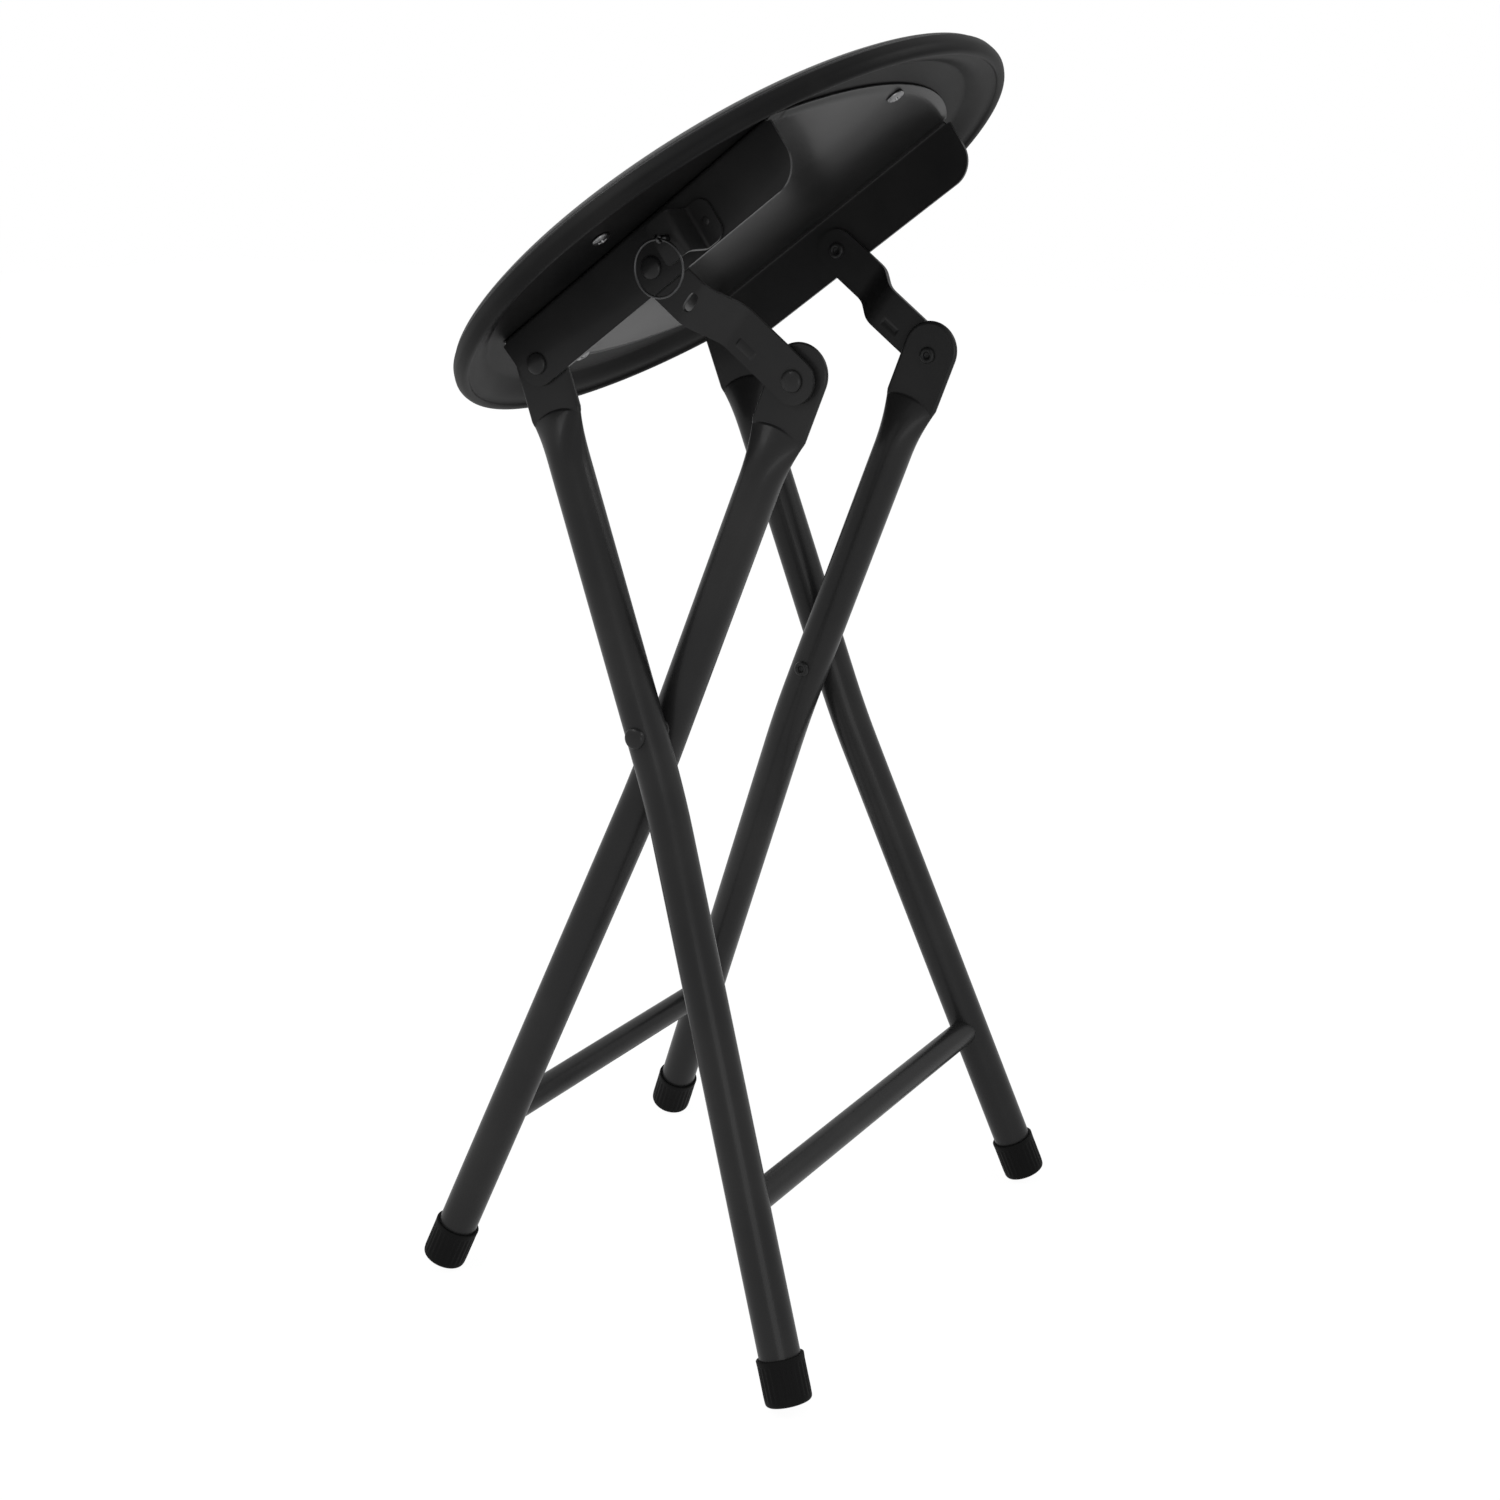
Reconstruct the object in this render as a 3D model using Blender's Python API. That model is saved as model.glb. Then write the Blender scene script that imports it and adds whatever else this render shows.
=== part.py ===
"""Round folding stool: padded seat on a steel channel, two crossing leg frames and a pair of links.

The stool stands part-folded, as a kite linkage. Seen from the left side (from -Y), the outer legs hang
from the channel at A, the inner legs hang from the links at B, both links hang from the channel at C,
and the leg frames cross at M. Lengths are in millimetres and MM turns them into metres.
"""

import bmesh
import bpy
import math
from mathutils import Vector

MM = 0.001
GAP = 0.3

# Side geometry of the linkage
CROSS_TO_TOP = 227.3
LINK_LENGTH = 99.5
LOWER_LENGTH = 401.0
INNER_EXTRA = 6.0
HALF_LEG_ANGLE = math.radians(20.6)

OUTER_LOWER_LENGTH = LOWER_LENGTH
INNER_LOWER_LENGTH = LOWER_LENGTH + INNER_EXTRA

# Tubes of the leg frames
TUBE_RADIUS = 12.7
TUBE_WALL = 1.2
CROSSBAR_RADIUS = 9.0
CROSSBAR_WALL = 1.2
CROSSBAR_HEIGHT = 117.0
FLAT_HALF_WIDTH = 18.3
FLAT_HALF_THICKNESS = 2.0
FLAT_LENGTH = 31.0
CONE_LENGTH = 36.0
OUTER_TIP = 19.0
INNER_TIP = 22.0
BEND_BELOW_CROSS = 40.0
BEND_SOFTNESS = 24.0

# Distances of the tube centre lines from the middle plane
OUTER_TOP_Y = 107.0
OUTER_CROSS_Y = 114.8
OUTER_FOOT_Y = 173.0
INNER_TOP_Y = 84.0
INNER_CROSS_Y = 87.6
INNER_FOOT_Y = 140.5

# Foot caps
CAP_WALL = 1.5
CAP_FLOOR = 4.0
CAP_LENGTH = 28.0
CAP_EDGE = 2.0

# Channel under the seat
SHEET = 2.0
CHANNEL_HALF_WIDTH = 112.0
CHANNEL_TOP = 24.0
CHANNEL_BOTTOM = -13.2
CHANNEL_START = -15.0
CHANNEL_END = 208.0
CHANNEL_CORNER = 17.0
CHANNEL_A_RADIUS = 13.2
TONGUE_REACH = 31.0
RELIEF = 3.0

# Seat
SEAT_CENTRE = 94.5
SEAT_RADIUS = 189.5
FLOOR_RADIUS = SEAT_RADIUS - 24.0
PAN_WALL = 1.5
LIP_DEPTH = 10.0
LIP_BOTTOM = CHANNEL_TOP - LIP_DEPTH
LIP_RADIUS = 3.5
BAND_HEIGHT = 11.0
BAND_LEAN = 1.5
PAN_TOP = LIP_BOTTOM + BAND_HEIGHT
BOARD_THICKNESS = 4.0
BOARD_RADIUS = SEAT_RADIUS - 20.0
CUSHION_EDGE = PAN_TOP + 3.9
CUSHION_CROWN = CUSHION_EDGE + 11.0
CUSHION_SET_IN = 3.5
PAN_SCREW_CIRCLE = 136.0
PAN_SCREW_RADIUS = 2.0
PAN_SCREW_HEAD = 5.0

# Links
LINK_SHEET = 2.5
LINK_HALF_WIDTH = 13.5
JOGGLE_START = 34.0
JOGGLE_END = 51.0
SLOT_WIDTH = 5.6
SLOT_HEIGHT = 12.0
WASHER = 1.4

# Rivets
RIVET_RADIUS = 4.0
RIVET_CLEARANCE = 0.2
RIVET_HEAD_RADIUS = 6.5
RIVET_HEAD_HEIGHT = 3.0
RIVET_TAIL_RADIUS = 5.2
RIVET_TAIL_HEIGHT = 2.2
RIVET_HEAD_EDGE = 0.6
RIVET_TAIL_HOLLOW = 2.0
CROSS_WASHER_RADIUS = 7.0
LINK_WASHER_RADIUS = LINK_HALF_WIDTH - 2.5

# Lock on the left flange
LOCK_DISTANCE = 30.0
LOCK_HALF_WIDTH = 13.0
LOCK_SHEET = 1.8
LOCK_RISE = 22.0
LOCK_PLATE_LENGTH = 17.0
LOCK_TAB_LENGTH = 14.0
LOCK_RIVET_RADIUS = 2.0
PIN_RADIUS = 2.2
PIN_EYE_RADIUS = 2.9
PIN_TRAVEL = 4.5
PIN_COLLAR_RADIUS = 5.2
PIN_COLLAR_THICKNESS = 1.6
SPRING_RADIUS = 3.9
SPRING_WIRE = 0.5
SPRING_TURNS = 5
RING_RADIUS = 15.6
RING_WIRE = 0.75

SIDES = {"left": -1.0, "right": 1.0}
FACET_COUNT = 20
SMALL_FACET_COUNT = 14


def clear_scene():
    """Removes whatever the file starts with."""
    for thing in list(bpy.data.objects):
        bpy.data.objects.remove(thing, do_unlink=True)


def metal(name, colour, roughness, metallic):
    """A Principled material with one colour."""
    material = bpy.data.materials.new(name)
    material.use_nodes = True
    shader = material.node_tree.nodes["Principled BSDF"]
    shader.inputs["Base Color"].default_value = (*colour, 1.0)
    shader.inputs["Roughness"].default_value = roughness
    shader.inputs["Metallic"].default_value = metallic
    return material


def empty(name, parent=None, location=(0.0, 0.0, 0.0), turn=0.0):
    """A frame to hang pieces on, placed in millimetres and turned about Y."""
    frame = bpy.data.objects.new(name, None)
    bpy.context.scene.collection.objects.link(frame)
    frame.parent = parent
    frame.location = Vector(location) * MM
    frame.rotation_euler = (0.0, turn, 0.0)
    return frame


def add_object(name, shape, parent, material, smooth=True, cutter=False):
    """Writes a bmesh in millimetres to a named object under its parent."""
    bmesh.ops.scale(shape, vec=(MM, MM, MM), verts=shape.verts)
    bmesh.ops.recalc_face_normals(shape, faces=shape.faces)
    mesh = bpy.data.meshes.new(name)
    shape.to_mesh(mesh)
    shape.free()
    if smooth:
        mesh.shade_smooth()
        mesh.set_sharp_from_angle(angle=math.radians(35))
    thing = bpy.data.objects.new(name, mesh)
    bpy.context.scene.collection.objects.link(thing)
    thing.parent = parent
    if material:
        mesh.materials.append(material)
    if cutter:
        thing.hide_render = True
        thing.display_type = "WIRE"
        thing.hide_set(True)
    return thing


def cut(thing, cutter, operation="DIFFERENCE"):
    """Leaves a live Boolean on the object."""
    modifier = thing.modifiers.new(cutter.name, "BOOLEAN")
    modifier.operation = operation
    modifier.solver = "EXACT"
    modifier.object = cutter


def skin(shape, rings, close_start=True, close_end=True):
    """Joins rings of equal count by quads, and fills the end rings that are closed."""
    rows = [[shape.verts.new(point) for point in ring] for ring in rings]
    for row, following in zip(rows, rows[1:]):
        for index in range(len(row)):
            after = (index + 1) % len(row)
            shape.faces.new((row[index], row[after], following[after], following[index]))
    if close_start:
        shape.faces.new(rows[0][::-1])
    if close_end:
        shape.faces.new(rows[-1])
    return rows


def lathe(profile, count, centre, axis):
    """Turns (radius, height) pairs about an axis. Pairs with radius 0 become the poles."""
    shape = bmesh.new()
    turn = Vector((0, 0, 1)).rotation_difference(Vector(axis)).to_matrix()
    rows = []
    for radius, height in profile:
        if radius == 0:
            rows.append([shape.verts.new(turn @ Vector((0, 0, height)) + Vector(centre))])
            continue
        ring = []
        for step in range(count):
            angle = 2 * math.pi * (step + 0.3) / count
            point = Vector((radius * math.cos(angle), radius * math.sin(angle), height))
            ring.append(shape.verts.new(turn @ point + Vector(centre)))
        rows.append(ring)
    closed = profile[0][0] > 0 and profile[-1][0] > 0
    pairs = list(zip(rows, rows[1:] + rows[:1] if closed else rows[1:]))
    for row, following in pairs:
        for step in range(count):
            after = (step + 1) % count
            corners = [row[step % len(row)], row[after % len(row)]]
            corners += [following[after % len(following)], following[step % len(following)]]
            shape.faces.new(list(dict.fromkeys(corners)))
    return shape


def cylinder(radius, start, end):
    """A solid rod between two points, as a bmesh."""
    axis = Vector(end) - Vector(start)
    profile = [(0, 0), (radius, 0), (radius, axis.length), (0, axis.length)]
    return lathe(profile, FACET_COUNT, start, axis.normalized())


def extrude_outline(points, lift):
    """A flat outline, given as 3-D points, pushed along a vector."""
    shape = bmesh.new()
    base = [shape.verts.new(point) for point in points]
    top = [shape.verts.new(Vector(point) + Vector(lift)) for point in points]
    shape.faces.new(base)
    shape.faces.new(top[::-1])
    for index in range(len(base)):
        after = (index + 1) % len(base)
        shape.faces.new((base[index], top[index], top[after], base[after]))
    return shape


def arc(centre, radius, start, end, steps):
    """Points on an arc in a plane, angles in degrees."""
    found = []
    for step in range(steps + 1):
        angle = math.radians(start + (end - start) * step / steps)
        found.append((centre[0] + radius * math.cos(angle), centre[1] + radius * math.sin(angle)))
    return found


def leg_line(top_y, cross_y, foot_y, lower_length):
    """Distance of a tube's centre line from the middle plane, at any distance below its pivot."""
    upper_slope = (cross_y - top_y) / CROSS_TO_TOP
    bend = CROSS_TO_TOP + BEND_BELOW_CROSS
    straight = lower_length - BEND_BELOW_CROSS
    lower_slope = (foot_y - cross_y - upper_slope * BEND_BELOW_CROSS) / straight

    def distance(down):
        past = down - bend
        if past <= -BEND_SOFTNESS:
            extra = 0.0
        elif past >= BEND_SOFTNESS:
            extra = past
        else:
            extra = (past + BEND_SOFTNESS) ** 2 / (4 * BEND_SOFTNESS)
        return top_y + upper_slope * down + (lower_slope - upper_slope) * extra

    return distance


def foot_direction(line, length):
    """Unit vector down the last stretch of a leg, in the leg's own frame, for the +Y side."""
    slope = (line(length) - line(length - 10.0)) / 10.0
    return Vector((0.0, slope, -1.0)).normalized()


def cap_reach(direction, turn):
    """How far the cap's lowest point lies below the centre of its bottom face, once turned."""
    upright = abs(direction.z) * math.cos(turn)
    flat = math.sqrt(1.0 - upright**2)
    radius = TUBE_RADIUS + GAP + CAP_WALL
    return (radius - CAP_EDGE) * flat + CAP_EDGE * (1.0 - upright)


OUTER_LINE = leg_line(OUTER_TOP_Y, OUTER_CROSS_Y, OUTER_FOOT_Y, OUTER_LOWER_LENGTH)
INNER_LINE = leg_line(INNER_TOP_Y, INNER_CROSS_Y, INNER_FOOT_Y, INNER_LOWER_LENGTH)
OUTER_LENGTH = CROSS_TO_TOP + OUTER_LOWER_LENGTH
INNER_LENGTH = CROSS_TO_TOP + INNER_LOWER_LENGTH
OUTER_END = foot_direction(OUTER_LINE, OUTER_LENGTH)
INNER_END = foot_direction(INNER_LINE, INNER_LENGTH)
HALF_SEAT_ANGLE = math.asin(CROSS_TO_TOP / LINK_LENGTH * math.sin(HALF_LEG_ANGLE))


def level_tilt():
    """Lean of the whole linkage that sets both pairs of feet on one floor."""
    low, high = -0.1, 0.1
    for _ in range(60):
        lean = (low + high) / 2
        outer = OUTER_LOWER_LENGTH * math.cos(HALF_LEG_ANGLE + lean)
        outer += cap_reach(OUTER_END, HALF_LEG_ANGLE + lean)
        inner = INNER_LOWER_LENGTH * math.cos(HALF_LEG_ANGLE - lean)
        inner += cap_reach(INNER_END, HALF_LEG_ANGLE - lean)
        if outer > inner:
            low = lean
        else:
            high = lean
    return lean


LEAN = level_tilt()
OUTER_TURN = -(HALF_LEG_ANGLE + LEAN)
INNER_TURN = HALF_LEG_ANGLE - LEAN
SEAT_TURN = HALF_SEAT_ANGLE - math.pi / 2 - LEAN
LINK_TURN = math.pi / 2 - HALF_SEAT_ANGLE - LEAN
CROSS_HEIGHT = OUTER_LOWER_LENGTH * math.cos(HALF_LEG_ANGLE + LEAN)
CROSS_HEIGHT += cap_reach(OUTER_END, HALF_LEG_ANGLE + LEAN)


def along(start, distance, angle):
    """Point at a distance from another, at an angle from straight up towards +X."""
    step = Vector((math.sin(angle), 0.0, math.cos(angle)))
    return Vector(start) + step * distance


CROSS = Vector((0.0, 0.0, CROSS_HEIGHT))
PIVOT_A = along(CROSS, CROSS_TO_TOP, OUTER_TURN)
PIVOT_B = along(CROSS, CROSS_TO_TOP, INNER_TURN)
PIVOT_C = along(PIVOT_A, LINK_LENGTH, math.pi / 2 + SEAT_TURN)

# Stack of layers at the pivots, outwards from the middle plane
FLANGE_INSIDE = CHANNEL_HALF_WIDTH - SHEET
LINK_TOP_Y = FLANGE_INSIDE - GAP - LINK_SHEET / 2
INNER_FACE_Y = INNER_TOP_Y + FLAT_HALF_THICKNESS
LINK_LOW_Y = INNER_FACE_Y + GAP + WASHER + GAP + LINK_SHEET / 2


def stadium(width, thickness, count):
    """A flattened circle: two half circles joined by straight sides, as (x, y) pairs."""
    radius = min(width, thickness)
    half = max(width - radius, 0.0)
    points = []
    for step in range(count):
        angle = 2 * math.pi * (step + 0.5) / count
        side = half if math.cos(angle) > 0 else -half
        points.append((side + radius * math.cos(angle), radius * math.sin(angle)))
    return points


def leg_ring(line, down, width, thickness, side):
    """One ring of a leg tube, square to its centre line."""
    slope = (line(down + 1.0) - line(down - 1.0)) / 2.0
    across = Vector((0.0, 1.0, slope)).normalized()
    centre = Vector((0.0, line(down), -down))
    ring = []
    for x, y in stadium(width, thickness, FACET_COUNT):
        point = centre + Vector((x, 0.0, 0.0)) + across * y
        ring.append((point.x, point.y * side, point.z))
    return ring


def leg_tube(name, line, length, tip, side, parent, material):
    """A bent tube whose top is pressed flat, with a rounded tip. It is open at the bottom."""
    rounding = FLAT_HALF_WIDTH
    tip_centre = rounding - tip
    steps = []
    for degrees in (86, 74, 60, 45, 28, 12):
        angle = math.radians(degrees)
        width = rounding * math.cos(angle)
        steps.append((tip_centre - rounding * math.sin(angle), width, FLAT_HALF_THICKNESS))
    steps.append((FLAT_LENGTH, FLAT_HALF_WIDTH, FLAT_HALF_THICKNESS))
    for part in (0.2, 0.45, 0.7, 1.0):
        ease = math.sin(part * math.pi / 2)
        width = FLAT_HALF_WIDTH + (TUBE_RADIUS - FLAT_HALF_WIDTH) * ease
        thickness = FLAT_HALF_THICKNESS + (TUBE_RADIUS - FLAT_HALF_THICKNESS) * ease
        steps.append((FLAT_LENGTH + CONE_LENGTH * part, width, thickness))
    bend = CROSS_TO_TOP + BEND_BELOW_CROSS
    for part in (-1.0, -0.5, 0.0, 0.5, 1.0):
        steps.append((bend + part * BEND_SOFTNESS, TUBE_RADIUS, TUBE_RADIUS))
    end = length - CAP_FLOOR
    steps.append((end, TUBE_RADIUS, TUBE_RADIUS))
    outer = [leg_ring(line, down, width, thick, side) for down, width, thick in steps]
    hollow = []
    for down, width, thick in steps[8:]:
        hollow.append(leg_ring(line, down, width - TUBE_WALL, thick - TUBE_WALL, side))
    shape = bmesh.new()
    outside = skin(shape, outer, True, False)
    inside = skin(shape, hollow, True, False)
    for index in range(FACET_COUNT):
        after = (index + 1) % FACET_COUNT
        shape.faces.new(
            (outside[-1][index], outside[-1][after], inside[-1][after], inside[-1][index])
        )
    tube = add_object(name, shape, parent, material)
    hole = RIVET_RADIUS + RIVET_CLEARANCE
    for label, down in (("pivot", 0.0), ("cross", CROSS_TO_TOP)):
        reach = 2 * TUBE_RADIUS
        start = (0.0, side * (line(down) - reach), -down)
        end_point = (0.0, side * (line(down) + reach), -down)
        cutter = cylinder(hole, start, end_point)
        cut(tube, add_object(f"cut_{name}_{label}", cutter, parent, None, False, True))
    return tube


def crossbar(name, line, length, parent, material):
    """A thinner tube between two legs, cut to the shape of their sides."""
    down = length - CROSSBAR_HEIGHT
    reach = line(down)
    shape = bmesh.new()
    rings = []
    for radius in (CROSSBAR_RADIUS, CROSSBAR_RADIUS - CROSSBAR_WALL):
        for end in (-reach, reach) if radius == CROSSBAR_RADIUS else (reach, -reach):
            ring = []
            for step in range(FACET_COUNT):
                angle = 2 * math.pi * step / FACET_COUNT
                ring.append((radius * math.cos(angle), end, radius * math.sin(angle) - down))
            rings.append(ring)
    rows = [[shape.verts.new(point) for point in ring] for ring in rings]
    for row, following in zip(rows, rows[1:] + rows[:1]):
        for step in range(FACET_COUNT):
            after = (step + 1) % FACET_COUNT
            shape.faces.new((row[step], row[after], following[after], following[step]))
    bar = add_object(name, shape, parent, material)
    for label, side in SIDES.items():
        slope = (line(down + 10.0) - line(down - 10.0)) / 20.0
        run = Vector((0.0, slope * side, -1.0)) * 60.0
        centre = Vector((0.0, side * line(down), -down))
        cutter = cylinder(TUBE_RADIUS + GAP, centre - run, centre + run)
        cut(bar, add_object(f"cut_{name}_{label}", cutter, parent, None, False, True))
    return bar


def foot_cap(name, line, length, direction, side, parent, material):
    """A rubber cup over the end of a leg, with a rounded lower edge."""
    inner = TUBE_RADIUS + GAP
    outer = inner + CAP_WALL
    edge = CAP_EDGE
    profile = [(0, 0), (outer - edge, 0)]
    for degrees in (-60, -30, 0):
        angle = math.radians(degrees)
        profile.append((outer - edge + edge * math.cos(angle), edge + edge * math.sin(angle)))
    profile += [(outer, CAP_LENGTH - 1.0), (outer - 0.5, CAP_LENGTH), (inner, CAP_LENGTH)]
    profile += [(inner, CAP_FLOOR - GAP), (0, CAP_FLOOR - GAP)]
    centre = Vector((0.0, side * line(length), -length))
    axis = Vector((0.0, -side * direction.y, -direction.z))
    add_object(name, lathe(profile, FACET_COUNT, centre, axis), parent, material)


def head_profile():
    """Dome and underside of a rivet, as (radius, height) pairs, with the underside at height 0."""
    profile = [(0, RIVET_HEAD_HEIGHT)]
    for degrees in (65, 40, 18, 0):
        angle = math.radians(degrees)
        height = RIVET_HEAD_EDGE + (RIVET_HEAD_HEIGHT - RIVET_HEAD_EDGE) * math.sin(angle)
        profile.append((RIVET_HEAD_RADIUS * math.cos(angle), height))
    return profile + [(RIVET_HEAD_RADIUS, 0), (RIVET_RADIUS, 0)]


def tail_profile(length):
    """Spread and hollow tail of a rivet, at a length below the underside of its head."""
    low = -length - RIVET_TAIL_HEIGHT
    hollow = RIVET_RADIUS / 2
    profile = [(RIVET_RADIUS, -length), (RIVET_TAIL_RADIUS, -length), (RIVET_TAIL_RADIUS - 0.6, low)]
    return profile + [(hollow + 0.2, low), (hollow, low + RIVET_TAIL_HOLLOW), (0, low + RIVET_TAIL_HOLLOW)]


def rivet(name, side, face, back, parent, material):
    """A whole rivet along Y: its head lies on the plane at face, its tail on the plane at back."""
    head = face + GAP
    profile = head_profile() + tail_profile(head - back + GAP)
    shape = lathe(profile, SMALL_FACET_COUNT, (0, side * head, 0), (0, side, 0))
    add_object(name, shape, parent, material)


def rivet_head(name, side, face, end, parent, material):
    """The outer half of a rivet that is parted between two pieces."""
    head = face + GAP
    profile = head_profile() + [(RIVET_RADIUS, end - head), (0, end - head)]
    shape = lathe(profile, SMALL_FACET_COUNT, (0, side * head, 0), (0, side, 0))
    add_object(name, shape, parent, material)


def rivet_tail(name, side, start, back, parent, material):
    """The inner half of a rivet that is parted between two pieces."""
    profile = [(0, 0), (RIVET_RADIUS, 0)] + tail_profile(start - back + GAP)
    shape = lathe(profile, SMALL_FACET_COUNT, (0, side * start, 0), (0, side, 0))
    add_object(name, shape, parent, material)


def washer(name, side, start, end, radius, parent, material):
    """A flat washer round a rivet, between two distances from the middle plane."""
    hole = RIVET_RADIUS + RIVET_CLEARANCE
    profile = [(hole, start), (radius, start), (radius, end), (hole, end)]
    shape = lathe(profile, SMALL_FACET_COUNT, (0, 0, 0), (0, side, 0))
    add_object(name, shape, parent, material)


def flange_outline():
    """Outline of a channel flange in the seat's (along, up) plane."""
    points = [(CHANNEL_START, CHANNEL_TOP)]
    points += arc((0, 0), CHANNEL_A_RADIUS, 170, 270, 8)
    corner = (CHANNEL_END - CHANNEL_CORNER, CHANNEL_BOTTOM + CHANNEL_CORNER)
    points += arc(corner, CHANNEL_CORNER, 270, 360, 8)
    points.append((CHANNEL_END, CHANNEL_TOP))
    return points


def web_outline():
    """Outline of the channel's top plate in the seat's (along, across) plane."""
    half = CHANNEL_HALF_WIDTH
    inset = half - RELIEF
    middle = (CHANNEL_START + CHANNEL_END) / 2
    reach = (CHANNEL_END - CHANNEL_START) / 2
    radius = (inset**2 + TONGUE_REACH**2) / (2 * TONGUE_REACH)
    spread = math.degrees(math.asin(inset / radius))
    points = [(middle + reach - RELIEF, half)]
    points += [(middle + reach - RELIEF, inset)]
    points += arc((middle + reach + TONGUE_REACH - radius, 0), radius, spread, -spread, 14)
    points += [(middle + reach - RELIEF, -inset), (middle + reach - RELIEF, -half)]
    points += [(middle - reach + RELIEF, -half), (middle - reach + RELIEF, -inset)]
    centre = (middle - reach - TONGUE_REACH + radius, 0)
    points += arc(centre, radius, 180 + spread, 180 - spread, 14)
    points += [(middle - reach + RELIEF, inset), (middle - reach + RELIEF, half)]
    return points


def seat_bracket(parent, material):
    """The pressed channel: a top plate with tongues, and a flange on each side."""
    low = CHANNEL_TOP - SHEET
    web = [(s, y, low) for s, y in web_outline()]
    bracket = add_object("seat_bracket", extrude_outline(web, (0, 0, SHEET)), parent, material)
    for label, side in SIDES.items():
        start = side * CHANNEL_HALF_WIDTH
        outline = [(s, start, n) for s, n in flange_outline()]
        plate = extrude_outline(outline, (0, -side * SHEET, 0))
        flange = add_object(f"add_flange_{label}", plate, parent, None, False, True)
        cut(bracket, flange, "UNION")
        holes = [(0.0, 0.0, RIVET_RADIUS), (LINK_LENGTH, 0.0, RIVET_RADIUS)]
        if side < 0:
            holes.append((LINK_LENGTH + LOCK_DISTANCE, 0.0, PIN_RADIUS))
            holes.append((lock_tab_rivet(), 0.0, LOCK_RIVET_RADIUS))
        for number, (s, n, radius) in enumerate(holes):
            reach = 3 * SHEET
            cutter = cylinder(
                radius + RIVET_CLEARANCE, (s, start - reach, n), (s, start + reach, n)
            )
            cut(bracket, add_object(f"cut_{label}_{number}", cutter, parent, None, False, True))
    for number, (s, y) in enumerate(pan_screw_places()):
        if abs(y) < CHANNEL_HALF_WIDTH:
            hole = PAN_SCREW_RADIUS + RIVET_CLEARANCE
            cutter = cylinder(hole, (s, y, low - 5), (s, y, low + 5))
            name = f"cut_web_{number}"
            cut(bracket, add_object(name, cutter, parent, None, False, True))
    return bracket


def pan_screw_places():
    """Places of the four seat screws, round the seat's centre."""
    places = []
    for quarter in range(4):
        angle = quarter * math.pi / 2
        s = SEAT_CENTRE + PAN_SCREW_CIRCLE * math.cos(angle)
        places.append((s, PAN_SCREW_CIRCLE * math.sin(angle)))
    return places


def seat_pan(parent, material):
    """The moulded tray: a flat floor, a sloping cove, a rolled lip and an outer band."""
    floor = CHANNEL_TOP + GAP
    wall = PAN_WALL
    lip_centre = SEAT_RADIUS - LIP_RADIUS - 1.5
    under = [(0, floor), (FLOOR_RADIUS - 3, floor), (FLOOR_RADIUS, floor - 1.0)]
    under += [(lip_centre - LIP_RADIUS - 3, LIP_BOTTOM + 4.5)]
    for degrees in (-150, -115, -80, -45, -15):
        angle = math.radians(degrees)
        radius = lip_centre + LIP_RADIUS * math.cos(angle)
        under.append((radius, LIP_BOTTOM + LIP_RADIUS + LIP_RADIUS * math.sin(angle)))
    upper = SEAT_RADIUS - BAND_LEAN
    under += [(SEAT_RADIUS, LIP_BOTTOM + 6), (upper, PAN_TOP - 0.8)]
    over = [(upper - 0.8, PAN_TOP), (upper - wall - 0.6, PAN_TOP)]
    over += [(SEAT_RADIUS - wall - 0.6, LIP_BOTTOM + 6), (lip_centre, LIP_BOTTOM + wall + 1.5)]
    over += [(lip_centre - 4, LIP_BOTTOM + wall + 3.5), (FLOOR_RADIUS + 1.5, floor + wall - 1.2)]
    over += [(FLOOR_RADIUS - 2, floor + wall), (0, floor + wall)]
    shape = lathe(under + over, 48, (SEAT_CENTRE, 0, 0), (0, 0, 1))
    pan = add_object("seat_pan", shape, parent, material)
    drill_seat(pan, parent, "pan", floor - 4, floor + 4, PAN_SCREW_RADIUS + RIVET_CLEARANCE)


def drill_seat(thing, parent, label, low, high, radius):
    """Holes for the four seat screws, through one layer."""
    for number, (s, y) in enumerate(pan_screw_places()):
        cutter = cylinder(radius, (s, y, low), (s, y, high))
        name = f"cut_{label}_{number}"
        cut(thing, add_object(name, cutter, parent, None, False, True))


def board_levels():
    """Underside and top of the seat board."""
    low = CHANNEL_TOP + GAP + PAN_WALL + GAP
    return low, low + BOARD_THICKNESS


def seat_board(parent, material):
    """The plywood disc that the screws hold to the tray."""
    low, high = board_levels()
    edge = 0.8
    profile = [(0, low), (BOARD_RADIUS - edge, low), (BOARD_RADIUS, low + edge)]
    profile += [(BOARD_RADIUS, high - edge), (BOARD_RADIUS - edge, high), (0, high)]
    shape = lathe(profile, 48, (SEAT_CENTRE, 0, 0), (0, 0, 1))
    board = add_object("seat_board", shape, parent, material)
    drill_seat(board, parent, "board", low - 3, high - 1, PAN_SCREW_RADIUS + GAP)


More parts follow.
